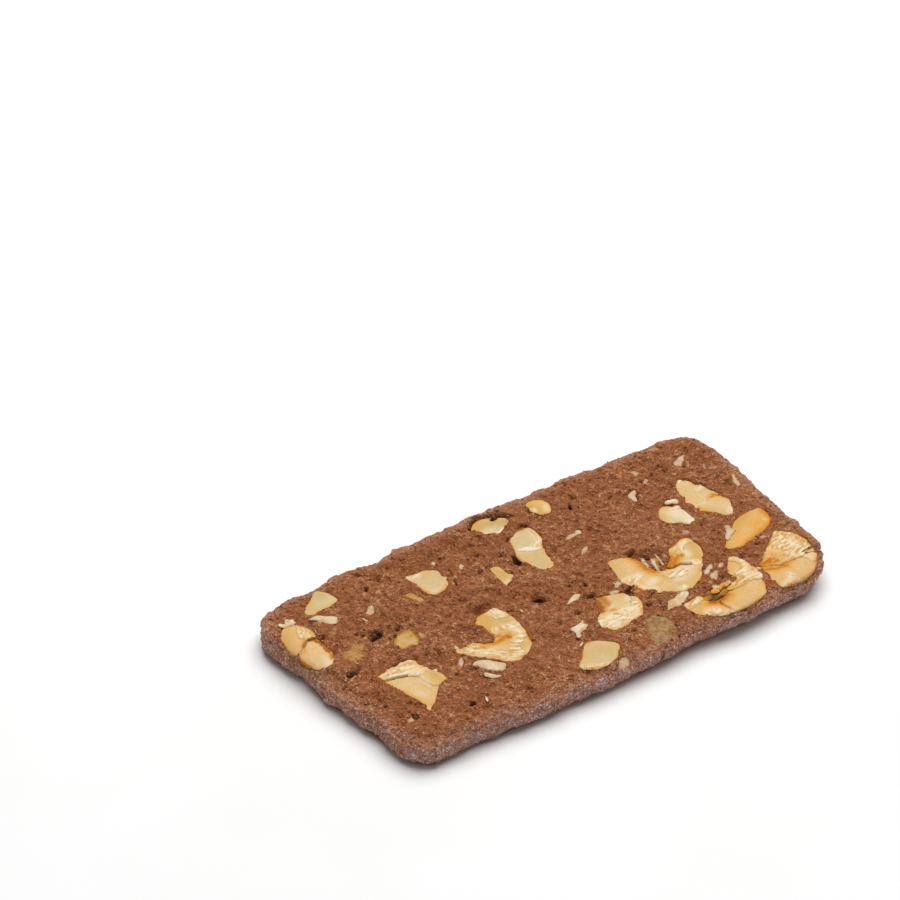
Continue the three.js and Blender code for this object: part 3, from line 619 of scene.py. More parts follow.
                  ([(10.0, -7.4), (10.6, -6.6), (12.0, -6.2), (13.1, -6.4), (13.3, -7.2), (12.8, -8.1),
                    (11.6, -8.8), (10.4, -8.6)], 0.1)],
        "cracks": [([(15.0, -6.4), (15.3, -6.7)], 0.2, 0.9),
                   ([(15.3, -6.7), (15.9, -6.85), (16.7, -6.75), (17.3, -6.8), (17.9, -7.25), (18.5, -7.6)],
                    0.26, 0.45)],
        "toast": [([(12.4, -1.6), (12.7, -2.6), (12.6, -4.0), (12.6, -5.2), (13.2, -6.1)], 1.3, 1.0),
                  ([(11.6, -3.4), (11.7, -4.8)], 0.9, 0.35),
                  ([(15.4, -6.3), (16.4, -5.6), (17.2, -4.7)], 1.1, 1.0),
                  ([(16.4, -6.3), (17.4, -5.6), (18.2, -5.2)], 1.0, 1.0),
                  ([(17.6, -3.5), (18.0, -4.2)], 0.8, 0.55),
                  ([(13.7, -6.8), (13.6, -8.0), (13.4, -9.0)], 0.6, 0.55),
                  ([(12.6, -8.6), (11.6, -9.0)], 0.5, 0.4),
                  ([(10.0, -7.3), (10.4, -6.8), (11.6, -6.3), (12.8, -6.3)], 0.6, 0.35),
                  ([(14.0, -6.9), (15.5, -7.2), (17.0, -7.1)], 0.8, 0.35)],
        "ochre": [([(9.4, -1.2), (9.0, -3.0), (8.7, -4.4)], 1.3, 0.5),
                  ([(21.6, -4.2), (21.2, -5.6), (20.3, -6.9)], 1.2, 0.75),
                  ([(18.3, -9.6), (17.2, -10.6), (15.6, -11.5), (14.0, -10.6)], 1.0, 0.45),
                  ([(11.0, -10.0), (12.6, -10.6)], 0.8, 0.3)],
        "pale": [([(8.3, -5.5), (9.6, -5.7), (11.0, -5.8)], 0.8, 0.9),
                 ([(8.9, -7.0), (9.6, -8.4), (10.6, -9.2)], 0.8, 0.7),
                 ([(10.6, -8.0), (11.8, -7.7)], 0.8, 0.7), ([(15.2, -8.4), (17.0, -8.2)], 1.4, 0.55),
                 ([(19.2, -4.6), (19.4, -5.4)], 0.8, 0.8), ([(18.6, -7.4), (19.4, -8.0)], 0.7, 0.8),
                 ([(20.0, -3.0), (21.4, -2.8)], 0.6, 0.8), ([(13.6, -11.6), (14.4, -11.4)], 0.6, 0.7)],
    },
    "nut_crescent_right": {
        "outline": [(11.3, -14.9), (11.9, -14.4), (13.0, -14.3), (14.2, -14.2), (14.9, -14.6),
                    (14.6, -15.5), (15.0, -16.1), (15.8, -16.6), (16.8, -16.6), (17.8, -16.4),
                    (18.5, -16.0), (19.0, -15.7), (19.8, -15.0), (20.6, -14.6), (21.6, -14.2),
                    (21.7, -13.2), (21.5, -12.4), (21.8, -11.6), (22.4, -11.0), (23.0, -10.2), (23.9, -9.6),
                    (24.5, -10.1), (24.9, -11.0), (25.0, -12.2), (25.0, -13.2), (25.2, -13.9),
                    (25.0, -14.6), (25.0, -15.4), (24.6, -16.1), (24.1, -16.6), (24.0, -17.6),
                    (23.3, -18.4), (22.3, -19.2), (20.8, -19.7), (19.0, -19.95), (17.4, -19.8),
                    (15.8, -19.7), (14.4, -19.4), (13.3, -18.8), (12.5, -18.0), (11.8, -17.2),
                    (11.6, -16.4), (11.3, -15.7)],
        "rise": 0.05, "warm": 0.68,
        "flakes": [([(11.1, -15.8), (11.2, -14.6), (13.0, -14.1), (15.1, -14.3), (14.7, -15.4),
                     (13.4, -15.7), (12.0, -16.0)], 0.14, 14),
                   ([(19.0, -15.9), (21.0, -16.0), (23.0, -15.8), (23.8, -16.3), (24.6, -16.3),
                     (25.4, -15.2), (25.5, -13.8), (25.3, -12.0), (24.7, -10.0), (23.9, -9.3),
                     (22.7, -10.2), (23.9, -11.0), (24.0, -12.2), (22.6, -12.8), (21.9, -13.0),
                     (21.4, -14.2), (20.3, -14.7), (19.4, -15.2)], 0.26, 4),
                   ([(13.4, -17.6), (14.4, -17.4), (15.3, -18.0), (15.2, -19.0), (14.2, -19.3),
                     (13.4, -18.8)], 0.1, 30),
                   ([(15.4, -18.9), (16.9, -19.0), (17.2, -19.9), (15.6, -20.0)], 0.06, 0)],
        "lifts": [([(16.3, -16.2), (16.3, -17.6), (16.7, -19.0), (17.2, -20.2), (26, -20.2), (26, -15.6),
                    (18, -15.6)], 0.14)],
        "cracks": [([(16.2, -16.7), (16.1, -17.6), (16.3, -18.4), (16.5, -19.0)], 0.13, 0.3)],
        "toast": [([(15.0, -16.3), (15.9, -16.9), (17.0, -16.8), (18.2, -16.4)], 1.3, 1.0),
                  ([(15.4, -17.2), (15.9, -17.7)], 0.8, 0.6), ([(16.6, -17.3), (17.8, -17.2)], 0.9, 0.5),
                  ([(18.6, -16.2), (19.8, -15.9), (21.0, -16.0)], 0.7, 0.5),
                  ([(21.9, -12.2), (22.6, -11.4), (23.4, -11.0)], 1.1, 0.55),
                  ([(14.6, -15.4), (14.8, -15.9)], 0.5, 0.8),
                  ([(20.0, -15.2), (20.8, -14.8), (21.3, -14.3)], 0.6, 0.6)],
        "ochre": [([(12.6, -16.2), (13.6, -16.3), (12.5, -17.3)], 1.2, 0.5),
                  ([(13.0, -14.9), (14.2, -15.0)], 0.7, 0.5), ([(22.4, -12.4), (23.4, -12.4)], 0.7, 0.4)],
        "pale": [([(13.6, -18.0), (14.6, -18.0), (14.4, -18.9)], 0.9, 0.9),
                 ([(15.6, -19.2), (17.0, -19.5)], 0.6, 0.8),
                 ([(23.6, -10.2), (24.5, -11.2), (24.7, -12.4)], 0.7, 0.9),
                 ([(22.6, -13.4), (24.0, -13.6), (24.2, -15.0)], 1.0, 0.4),
                 ([(11.7, -15.2), (12.4, -14.8)], 0.6, 0.7)],
        "skin": [([(15.1, -16.2), (15.9, -16.8), (17.0, -16.7)], 0.25, 0.7)],
    },
}

# Slivers: small nut bits that lie in the dough's surface, fused with it in the solid
sliverLook = {**nutLook, "relaxTimes": 0, "voxel": 0.1, "foot": 3.4, "sink": 0.04, "grow": 0.06,
              "rimDrop": 0.08, "dull": 0.36, "rimToast": 0.15, "ragged": 0.09}
slivers = [
    {"outline": [(21.3, 9.5), (21.3, 10.2), (21.7, 10.7), (22.4, 11.0), (23.1, 11.0), (22.7, 10.4),
                 (22.2, 9.7), (21.8, 8.8), (21.4, 8.8)], "warm": 0.05, "rise": 0.1, "dull": 0.42},
    {"outline": [(-36.9, 14.3), (-36.5, 14.5), (-36.1, 14.1), (-35.8, 14.3), (-35.5, 14.8), (-35.2, 14.75),
                 (-34.9, 14.3), (-34.4, 14.45), (-34.6, 13.9), (-34.8, 13.3), (-35.8, 13.4), (-36.3, 13.4),
                 (-36.7, 13.8)], "warm": 0.1, "rise": 0.1,
     "flakes": [([(-37.2, 14.6), (-35.2, 15), (-34.2, 14.6), (-34.6, 13.2), (-36.8, 13.2)], 0.05, 70)]},
    {"outline": [(-32.8, 12.7), (-32.2, 13.0), (-31.2, 12.8), (-30.6, 12.2), (-30.1, 11.9), (-29.4, 11.3),
                 (-29.4, 10.8), (-29.9, 10.2), (-30.4, 10.0), (-31.1, 10.4), (-31.8, 11.3), (-32.1, 12.1)],
     "warm": 0.1, "olive": 0.08, "rise": 0.3,
     "flakes": [([(-33, 12.8), (-32, 13.2), (-30.8, 12.5), (-31.0, 11.2), (-31.6, 11.2), (-32.2, 12)],
                 0.1, -40)]},
    {"outline": [(-20.3, -8.6), (-19.6, -7.95), (-18.6, -8.1), (-17.9, -8.5), (-17.4, -9.2), (-16.7, -10.0),
                 (-16.3, -10.8), (-16.8, -11.4), (-17.3, -11.7), (-18.3, -11.3), (-19.1, -10.5),
                 (-19.7, -9.6)], "warm": 0.18, "rise": 0.04, "dull": 0.46,
     "lifts": [([(-20.5, -8.6), (-19.6, -7.7), (-17.3, -9.2), (-17.9, -9.7), (-18.2, -11.3), (-19.8, -9.8)],
                0.12)], "pale": [([(-19.4, -8.9), (-18.6, -9.8)], 0.9, 0.6)],
     "ochre": [([(-17.2, -10.2), (-17.0, -11.2)], 0.7, 0.3)]},
    {"outline": [(-20.2, -11.2), (-19.9, -10.7), (-19.4, -11.3), (-19.0, -12.0), (-18.4, -12.7),
                 (-19.2, -12.6), (-19.9, -12.0)], "warm": 0.05, "rise": 0.14,
     "flakes": [([(-20.4, -11.2), (-19.9, -10.5), (-18.2, -12.8), (-20, -12.2)], 0.1, -50)]},
    {"outline": [(-5.5, 8.0), (-4.7, 8.05), (-4.1, 7.6), (-3.95, 6.6), (-3.95, 5.5), (-3.6, 5.1),
                 (-3.7, 4.6), (-4.6, 4.0), (-5.3, 3.7), (-5.8, 3.5), (-5.9, 4.0), (-5.75, 5.2),
                 (-5.65, 6.8)], "warm": 0.6, "rise": 0.05, "dull": 0.1,
     "pale": [([(-5.5, 4.0), (-4.9, 4.1)], 0.4, 0.4)], "ochre": [([(-4.9, 7.4), (-5.0, 5.4)], 1.0, 0.9)]},
    {"outline": [(7.8, 17.4), (8.8, 17.7), (9.8, 17.6), (10.6, 16.9), (10.9, 16.0), (10.6, 15.0),
                 (10.0, 14.0), (9.3, 13.6), (8.5, 14.0), (7.9, 14.9), (7.6, 15.8), (7.9, 16.6)],
     "warm": 0.85, "rise": 0.05, "dull": 0.08, "ochre": [([(8.3, 16.8), (8.6, 15.0)], 0.9, 0.8)],
     "toast": [([(7.9, 17.3), (9.0, 17.6)], 0.5, 0.5), ([(8.4, 14.3), (8.7, 14.1)], 0.4, 0.7)],
     "pale": [([(9.8, 14.6), (10.0, 15.2)], 0.6, 0.5), ([(8.0, 15.3), (8.2, 15.7)], 0.4, 0.7)]},
    {"outline": [(9.6, 7.3), (9.8, 7.9), (10.3, 8.0), (10.5, 7.5), (10.0, 7.1)], "warm": 0.0, "rise": 0.2},
    {"outline": [(9.1, -14.2), (9.6, -13.3), (10.4, -12.7), (11.5, -12.6), (12.4, -12.3), (13.3, -12.1),
                 (13.9, -12.4), (13.8, -13.0), (13.0, -13.6), (12.0, -14.2), (10.8, -14.4), (9.8, -14.4)],
     "warm": 0.3, "rise": 0.1,
     "flakes": [([(11.3, -12.4), (12.2, -12.2), (14.2, -12.0), (14.0, -13.2), (12.6, -13.7), (12.2, -13)],
                 0.12, 20)], "ochre": [([(9.6, -13.6), (10.8, -13.4)], 0.9, 0.6),
                                       ([(11.9, -13.2), (12.3, -13.4)], 0.5, 0.5)],
     "pale": [([(12.6, -12.5), (13.5, -12.5), (13.0, -13.4)], 0.6, 0.9),
              ([(11.3, -13.0), (11.2, -14.0)], 0.3, 0.7)]},
    {"outline": [(-1.6, -5.0), (-0.7, -4.4), (0.2, -4.0), (1.0, -3.9), (1.4, -4.2), (0.8, -4.8),
                 (-0.1, -5.0), (-0.9, -5.1)], "warm": 0.1, "olive": 0.15, "rise": 0.06,
     "flakes": [([(0, -3.8), (1.5, -3.7), (1.6, -4.4), (0.4, -4.9)], 0.1, 20)]},
    {"outline": [(-4.7, -9.9), (-3.6, -9.7), (-2.5, -9.5), (-2.0, -9.3), (-2.4, -10.0), (-2.0, -10.3),
                 (-2.4, -10.7), (-3.2, -11.1), (-3.9, -11.4), (-4.4, -12.0), (-4.9, -11.9), (-4.6, -11.2),
                 (-4.6, -10.6)], "warm": 0.02, "olive": 0.12, "rise": 0.12,
     "flakes": [([(-5, -9.7), (-2, -9.1), (-1.8, -10.4), (-4.3, -12.2), (-5, -12.1)], 0.12, 10)]},
    {"outline": [(-5.9, -13.6), (-5.2, -13.1), (-4.9, -13.1), (-5.3, -13.5)], "warm": 0.1, "rise": 0.1},
    {"outline": [(24.5, 5.6), (24.7, 6.1), (25.2, 6.2), (26.1, 6.0), (26.6, 5.6), (26.3, 5.0), (25.9, 4.7),
                 (25.3, 5.2)], "warm": 0.02, "rise": 0.2,
     "flakes": [([(24.3, 5.4), (24.6, 6.4), (26.8, 5.8), (26, 4.6)], 0.1, 10)]},
    {"outline": [(26.1, -6.3), (26.4, -5.7), (27.2, -5.0), (27.6, -4.2), (27.9, -3.7), (28.4, -4.0),
                 (28.3, -4.7), (28.7, -5.1), (27.8, -5.6), (27.0, -6.1), (26.4, -6.4)], "warm": 0.15,
     "rise": 0.38},
    {"outline": [(14.8, -6.2), (15.1, -5.0), (15.4, -3.6), (15.7, -2.6), (15.8, -2.9), (15.6, -4.2),
                 (15.2, -5.6)], "warm": 0.0, "rise": 0.2, "dull": 0.4},
    {"outline": [(-10.25, 11.3), (-10.05, 11.2), (-10.4, 9.9), (-10.8, 8.8), (-11.2, 7.7), (-11.35, 7.8),
                 (-11.0, 8.9), (-10.6, 10.0)], "warm": 0.5, "rise": -0.05, "shade": 0.75},
    {"outline": [(16.3, -15.0), (16.7, -14.4), (17.2, -14.3), (17.5, -13.8), (17.9, -13.7), (18.4, -14.1),
                 (18.9, -14.0), (19.6, -14.3), (20.2, -14.2), (20.1, -14.6), (19.4, -14.8), (18.9, -15.0),
                 (18.2, -15.0), (17.6, -15.2), (16.9, -15.3)], "warm": 1.0, "rise": 0.45, "dull": 0.0,
     "flakes": [([(17.6, -15.4), (17.2, -13.5), (20.5, -13.8), (20.3, -15.0)], 0.2, 20)],
     "ochre": [([(16.5, -14.9), (18.0, -14.2)], 0.4, 0.4)],
     "toast": [([(16.4, -15.0), (17.6, -15.1), (18.6, -14.9)], 0.5, 0.8),
               ([(18.6, -14.4), (19.6, -14.5)], 0.5, 0.6)]},
    {"outline": [(18.6, -15.6), (19.1, -15.2), (19.7, -15.0), (20.2, -14.7), (20.6, -14.9), (20.2, -15.4),
                 (19.4, -15.9)], "warm": 0.9, "rise": 0.4, "dull": 0.0,
     "toast": [([(18.8, -15.5), (19.8, -15.2)], 0.5, 0.7)],
     "pale": [([(20.0, -15.0), (20.4, -15.0)], 0.3, 0.7)]},
    {"outline": [(-7.7, -2.7), (-7.6, -2.3), (-7.4, -2.3), (-7.5, -2.7)], "warm": 0.0, "rise": 0.06,
     "dull": 0.3},
    {"outline": [(-23.2, -15.8), (-23.0, -15.2), (-22.8, -14.9), (-22.8, -15.3), (-23.0, -15.8)],
     "warm": 0.0, "rise": 0.1, "dull": 0.15},
    {"outline": [(-26.6, 8.9), (-26.4, 8.9), (-26.2, 8.0), (-26.4, 7.8)], "warm": 0.0, "rise": 0.08,
     "dull": 0.2},
    {"outline": [(-25.2, -6.4), (-25.0, -6.1), (-24.7, -6.3), (-24.9, -6.6)], "warm": 0.0, "rise": 0.15,
     "dull": 0.0},
    {"outline": [(-20.1, -4.2), (-19.9, -3.6), (-19.7, -3.4), (-19.4, -4.0), (-19.7, -4.4)], "warm": 0.0,
     "rise": 0.06, "dull": 0.3},
    {"outline": [(25.2, -14.1), (25.4, -13.8), (25.8, -13.9), (25.9, -14.2), (25.5, -14.4)], "warm": 0.05,
     "rise": 0.12},
    {"outline": [(27.8, -3.9), (28.0, -3.6), (28.4, -3.8), (28.4, -4.3), (28.0, -4.5), (27.7, -4.3)],
     "warm": 0.0, "rise": 0.4},
]

# Amber bits: caramelised nut pieces, glossy and clear
amberLook = {**nutLook, "relaxTimes": 12, "foot": 3.0, "sink": 0.0, "rimDrop": 0.12, "grow": 0.25,
             "rimToast": 0.3, "ragged": 0.02}
ambers = [
    {"outline": [(-26.1, 1.3), (-25.6, 2.1), (-24.8, 2.7), (-24.0, 2.9), (-23.1, 2.9), (-22.75, 2.2),
                 (-23.0, 1.0), (-23.3, 0.3), (-23.8, -0.35), (-24.3, 0.1), (-24.8, 0.2), (-25.3, 0.1),
                 (-25.9, 0.2)], "warm": 0.3, "rise": 0.22},
    {"outline": [(8.0, -8.4), (8.2, -8.0), (8.7, -8.1), (8.6, -8.6)], "warm": 0.9, "rise": 0.05},
    {"outline": [(7.4, -5.0), (7.6, -4.6), (7.9, -4.8), (7.8, -5.2)], "warm": 0.9, "rise": 0.1},
]

# Dough: the slice itself, with its pockets, pits and crumb
doughLook = {
    "voxel": 0.225, "relaxTimes": 8, "budget": 190000, "plugGrow": 0.6, "pocketDepth": 0.9,
    # how far in from the edge the top starts to fall, and by how much on the near and the far side
    "rimRound": (2.5, 0.55, 0.06),
    "shoulder": 0.55,  # how far the top of the near wall leans in
    "undercut": (1.6, 0.6),  # height and depth of the hollow at the foot of the walls
    # places where the wall leans in towards its foot: x, y, length, width, how far the foot is moved
    "leans": [(17.0, -22.0, 48, 13, 0.0, 1.3), (38.0, -19.5, 20, 16, -1.9, 1.4),
              (-29.0, -23.0, 18, 11, 0.0, 2.0), (-42.5, 6.0, 12, 11, 2.4, 0.0)],
    # bites out of the outline: x, y, length, width, turn, how far in
    "notches": [(36.4, -15.25, 6.0, 1.8, -8, 3.0), (38.0, -19.8, 10.0, 7.0, -45, 1.0),
                (4.0, 21.5, 7.0, 46, 90, -0.7), (39.0, 9.5, 7.0, 18, 0, -0.6),
                (37.1, -5.3, 2.0, 1.6, 0, 0.22), (-40.0, 6.4, 3.0, 3.0, 0, 0.3)],
    "relief": [(5.0, 0.48), (1.9, 0.38), (0.9, 0.25), (0.45, 0.13)],  # size and depth of the lumps
    "wallRelief": [(3.4, 0.42), (1.4, 0.24), (0.7, 0.15), (0.42, 0.08)],
    # the creases are painted darker too, as painted shade
    "creases": [(2.4, 0.06, 0.2), (1.3, 0.08, 0.1)],  # size, width and depth of the crooked cracks
    "smallPits": 620, "pitSeed": 5,
    # pits, painted darker inside as painted shade: x, y, length, width, turn, depth
    "pits": [
        (-27.2, 4.7, 2.9, 1.6, 24, 1.3), (-28.4, 5.9, 0.9, 0.7, 0, 0.9), (-33.5, 8.4, 0.9, 0.9, 80, 0.8),
        (-34.4, -0.3, 2.5, 1.1, 14, 1.1), (-5.2, 8.45, 1.5, 0.6, 0, 0.9), (2.5, -5.3, 2.2, 1.4, -30, 1.1),
        (-1.1, 7.4, 2.9, 1.4, 72, 1.6), (-1.5, 17.9, 2.2, 1.1, 45, 1.7), (0.4, 18.8, 3.4, 1.5, 4, 2.4),
        (2.0, 18.5, 3.6, 1.6, -22, 2.5), (3.5, 17.7, 2.8, 1.3, -34, 2.2), (4.6, 16.7, 1.5, 1.0, -55, 1.0),
        (13.1, 13.6, 1.9, 0.7, 66, 1.2), (-4.0, -1.6, 2.6, 1.1, -40, 1.3),
        (-24.8, -14.9, 1.4, 0.9, 20, 0.8), (-32.8, -12.9, 1.2, 1.1, -40, 0.9),
        (-22.3, 14.2, 1.2, 0.5, 60, 0.8), (-18.0, 2.1, 1.4, 0.6, 10, 0.5), (21.8, -2.4, 1.0, 0.7, -30, 0.8),
        (35.6, -3.4, 1.0, 0.7, 0, 0.9), (28.2, 8.9, 1.2, 0.7, 60, 0.5), (14.2, -3.1, 0.9, 0.8, 0, 0.7),
        (7.3, -7.8, 1.4, 0.6, 105, 0.6), (9.0, -10.5, 2.6, 0.5, 24, 0.5), (34.6, -15.4, 1.2, 0.6, -20, 0.7),
        (22.9, 10.1, 1.4, 0.5, 40, 0.5), (-25.7, -2.8, 0.9, 0.7, 0, 0.4), (-33.0, -1.5, 1.0, 0.6, 30, 0.3),
        (34.0, 10.3, 0.9, 0.7, 70, 0.5), (27.0, -3.5, 0.9, 0.4, 10, 0.5), (-6.85, 10.5, 1.0, 0.9, 0, 0.4),
        (-21.0, 17.0, 1.2, 0.4, -60, 0.5), (32.5, -1.8, 0.8, 0.5, 40, 0.6), (9.85, 3.05, 0.8, 0.6, 0, 0.5),
        (7.85, -17.6, 1.2, 0.5, 50, 0.6), (-12.6, 14.6, 0.7, 0.5, 20, 0.6),
        (-11.3, 12.8, 1.0, 0.5, 20, 0.5), (16.7, -15.95, 4.6, 1.3, -6, 1.9),
        (4.7, 13.4, 2.2, 0.8, -20, 0.9), (1.0, 12.4, 1.6, 0.7, 48, 0.8), (7.5, -7.2, 3.0, 1.0, 30, 0.8),
        (12.8, -1.1, 1.6, 0.9, 0, 0.8), (-23.7, 4.3, 1.1, 0.8, 0, 0.9), (-21.3, 9.0, 0.8, 0.6, 0, 0.9),
        (14.0, -2.6, 2.0, 0.9, -20, 0.5), (7.6, -5.4, 0.5, 0.9, 0, 0.4), (24.9, 5.2, 1.2, 0.5, -25, 0.7),
    ],
    # wide shallow hollows, painted darker as painted shade: x, y, length, width, turn, depth
    "hollows": [
        (-12.0, 1.3, 5.8, 2.8, 4, 0.5), (-16.2, -3.0, 4.4, 3.6, 40, 0.35), (3.4, 13.5, 4.2, 1.2, 14, 0.4),
        (17.2, -13.8, 4.6, 2.4, 10, 0.5), (20.0, -12.2, 3.5, 1.8, 60, 0.3),
        (14.6, -4.0, 3.6, 4.0, 60, 0.35), (25.5, -10.5, 3.0, 3.0, 0, 0.2), (23.5, 7.0, 3.0, 2.0, 20, 0.15),
        (8.0, -9.0, 2.5, 2.0, 60, 0.25), (-32.0, 7.4, 3.0, 3.4, 60, 0.35), (24.4, -8.6, 2.5, 1.6, 30, 0.2),
        (32.5, 7.6, 2.4, 1.6, -30, 0.25), (-19.4, 15.7, 4.0, 2.4, 20, 0.35),
        (-33.0, -10.6, 4.2, 2.2, 30, 0.32), (-36.6, -2.4, 3.0, 2.2, 0, 0.28),
        (-17.0, -16.0, 3.2, 1.8, 20, 0.3), (-7.0, 15.9, 4.0, 2.4, 0, 0.26),
    ],
    # places where nut oil or a sunk nut bit shows through:
    # outline, strength, hue from olive over amber to pale, softness
    "stains": [
        ([(-33.6, 2.0), (-33.7, 3.8), (-32.2, 4.4), (-31.0, 5.6), (-29.9, 5.4), (-29.2, 4.0), (-30.4, 2.6),
          (-32.0, 1.3), (-33.2, 1.4)], 0.78, 0.42, 1.0),
        ([(-32.4, 8.4), (-31.9, 9.4), (-30.8, 9.6), (-30.4, 9.0), (-31.4, 8.2), (-31.9, 7.8)],
         0.6, 0.35, 0.6),
        ([(-22.6, 0.6), (-22.4, 1.7), (-21.6, 1.8), (-21.4, 0.8), (-21.8, 0.2)], 0.5, 0.9, 0.4),
        ([(30.6, 18.2), (31.4, 18.5), (32.4, 18.0), (32.9, 17.3), (32.0, 17.3), (31.0, 17.8)],
         0.7, 0.5, 0.35),
        ([(34.9, 16.8), (35.5, 17.1), (36.1, 16.5), (35.8, 16.1), (35.2, 16.3)], 0.65, 0.5, 0.3),
        ([(21.3, 15.1), (21.7, 15.4), (22.0, 14.9), (21.6, 14.6)], 0.8, 0.55, 0.2),
        ([(25.2, 14.0), (25.4, 15.2), (26.3, 15.0), (26.3, 14.0), (25.7, 13.7)], 0.75, 0.8, 0.4),
        ([(24.9, 11.0), (25.2, 12.0), (26.3, 12.4), (26.1, 11.5)], 0.75, 0.85, 0.3),
        ([(-25.9, 9.3), (-25.2, 9.9), (-24.4, 10.5), (-23.6, 10.7), (-23.8, 9.9), (-24.3, 9.0),
          (-25.2, 8.9)], 1.0, 0.85, 0.15),
        ([(-22.0, -7.9), (-21.6, -7.0), (-21.0, -6.3), (-20.3, -6.0), (-20.4, -6.7), (-21.0, -7.4),
          (-21.5, -7.9)], 0.8, 0.95, 0.25),
        ([(-18.7, 10.0), (-18.2, 10.1), (-17.5, 9.8), (-17.3, 8.8), (-17.0, 7.8), (-17.0, 7.1),
          (-17.8, 7.0), (-18.0, 8.0), (-18.4, 9.0)], 1.0, 0.6, 0.15),
        ([(7.2, 7.05), (7.8, 7.5), (8.8, 7.65), (9.9, 7.5), (9.7, 7.0), (9.0, 6.7), (8.0, 6.7)],
         0.9, 0.85, 0.2),
        ([(7.4, 3.5), (8.0, 4.1), (8.8, 4.45), (9.3, 4.2), (8.7, 3.6), (7.8, 3.3)], 0.85, 0.85, 0.2),
        ([(22.0, -1.5), (22.2, -0.6), (22.7, 0.2), (23.0, -0.6), (23.4, -1.6), (22.6, -1.9)],
         0.55, 1.0, 0.3),
        ([(35.7, 3.0), (35.9, 4.2), (36.4, 5.0), (36.8, 5.9), (37.3, 6.2), (37.3, 5.3), (36.9, 4.4),
          (36.7, 3.4), (36.2, 2.9)], 1.0, 0.85, 0.2),
        ([(31.4, 12.6), (31.8, 13.1), (32.6, 13.3), (33.2, 13.8), (34.7, 14.0), (34.1, 13.2), (33.4, 12.5),
          (32.6, 12.1), (31.7, 12.2)], 0.85, 0.9, 0.25),
        ([(34.3, 9.1), (34.9, 9.9), (35.5, 10.7), (36.0, 11.0), (35.7, 10.2), (35.0, 9.2)], 0.6, 1.0, 0.25),
        ([(30.1, -8.7), (30.7, -8.3), (31.4, -8.5), (31.8, -9.1), (31.4, -9.6), (31.1, -9.0)],
         0.6, 1.0, 0.25),
        ([(-3.7, -19.6), (-3.3, -18.9), (-2.6, -18.5), (-1.8, -18.8), (-1.7, -19.5), (-2.4, -20.1),
          (-3.2, -20.1)], 0.85, 0.85, 0.3),
        ([(4.0, -15.9), (5.3, -14.2), (6.1, -13.9), (6.9, -14.0), (7.3, -14.8), (8.1, -14.8), (8.0, -15.6),
          (7.9, -17.0), (8.1, -17.9), (7.2, -18.5), (5.9, -19.0), (4.4, -19.4), (3.2, -19.2), (3.3, -18.2),
          (3.5, -16.7)], 1.0, 0.05, 0.45),
        ([(-34.4, -13.4), (-34.1, -12.7), (-33.5, -12.6), (-33.2, -13.2), (-33.7, -13.7)], 0.8, 0.85, 0.2),
        ([(-8.8, 10.5), (-8.5, 11.2), (-8.0, 11.5), (-7.7, 11.1), (-7.9, 10.6), (-8.4, 10.3)],
         0.9, 0.95, 0.2),
        ([(-11.6, 13.3), (-11.3, 13.8), (-10.8, 14.0), (-10.8, 13.4), (-11.2, 13.1)], 0.9, 1.0, 0.2),
        ([(-17.9, 11.2), (-17.6, 11.6), (-17.3, 11.3), (-17.6, 10.9)], 0.6, 1.0, 0.2),
        ([(14.4, -15.3), (14.9, -14.7), (15.7, -14.9), (16.2, -15.1), (16.3, -14.6), (16.9, -14.3),
          (17.5, -13.8), (18.3, -14.1), (19.4, -14.4), (20.6, -14.8), (19.9, -15.6), (18.7, -16.0),
          (17.6, -15.6), (16.8, -15.7), (15.8, -15.5), (15.0, -15.8)], 1.0, 0.6, 0.4),
        ([(16.1, -14.3), (16.5, -13.6), (17.1, -13.8), (17.1, -14.2), (16.6, -14.6)], 0.8, 0.9, 0.25),
        ([(18.5, -10.6), (18.9, -10.0), (20.2, -9.4), (21.2, -9.1), (20.6, -9.9), (19.8, -10.3),
          (19.0, -10.9)], 0.95, 1.0, 0.25),
        ([(18.7, -12.0), (19.1, -11.1), (20.1, -10.7), (20.7, -11.1), (20.0, -11.8), (19.3, -12.3)],
         0.95, 0.9, 0.25),
        ([(21.1, -10.5), (21.6, -9.8), (22.4, -10.1), (22.1, -10.9), (21.4, -11.0)], 0.8, 0.9, 0.3),
        ([(17.6, -12.6), (18.2, -11.8), (18.8, -12.2), (18.4, -13.0)], 0.5, 0.8, 0.3),
        ([(12.9, -4.8), (12.9, -3.6), (13.3, -2.6), (13.7, -3.0), (13.4, -4.0), (13.3, -5.0)],
         0.95, 1.0, 0.2),
        ([(13.4, -6.4), (13.7, -5.2), (14.0, -4.2), (14.5, -3.5), (14.8, -4.0), (14.2, -5.2), (13.9, -6.5)],
         0.95, 1.0, 0.2),
        ([(14.2, -5.8), (14.5, -4.6), (15.0, -3.5), (15.2, -4.2), (14.8, -5.4), (14.4, -6.2)],
         0.9, 0.6, 0.2),
        ([(16.3, -5.2), (16.1, -4.2), (16.6, -3.4), (16.9, -4.0), (16.7, -4.9)], 0.5, 1.0, 0.25),
        ([(6.5, -5.5), (6.8, -4.7), (7.7, -4.9), (7.7, -5.6), (7.0, -5.8)], 0.9, 1.0, 0.25),
        ([(4.7, -6.6), (5.2, -6.0), (6.0, -6.2), (6.6, -6.6), (6.2, -7.1), (5.4, -7.0)], 0.9, 0.9, 0.25),
    ],
}


def spotShape(spots, x, y, length, width, turn):
    c, s = math.cos(math.radians(turn)), math.sin(math.radians(turn))
    u = ((spots[:, 0] - x) * c + (spots[:, 1] - y) * s) / (length / 2)
    v = ((spots[:, 1] - y) * c - (spots[:, 0] - x) * s) / (width / 2)
    return np.hypot(u, v)


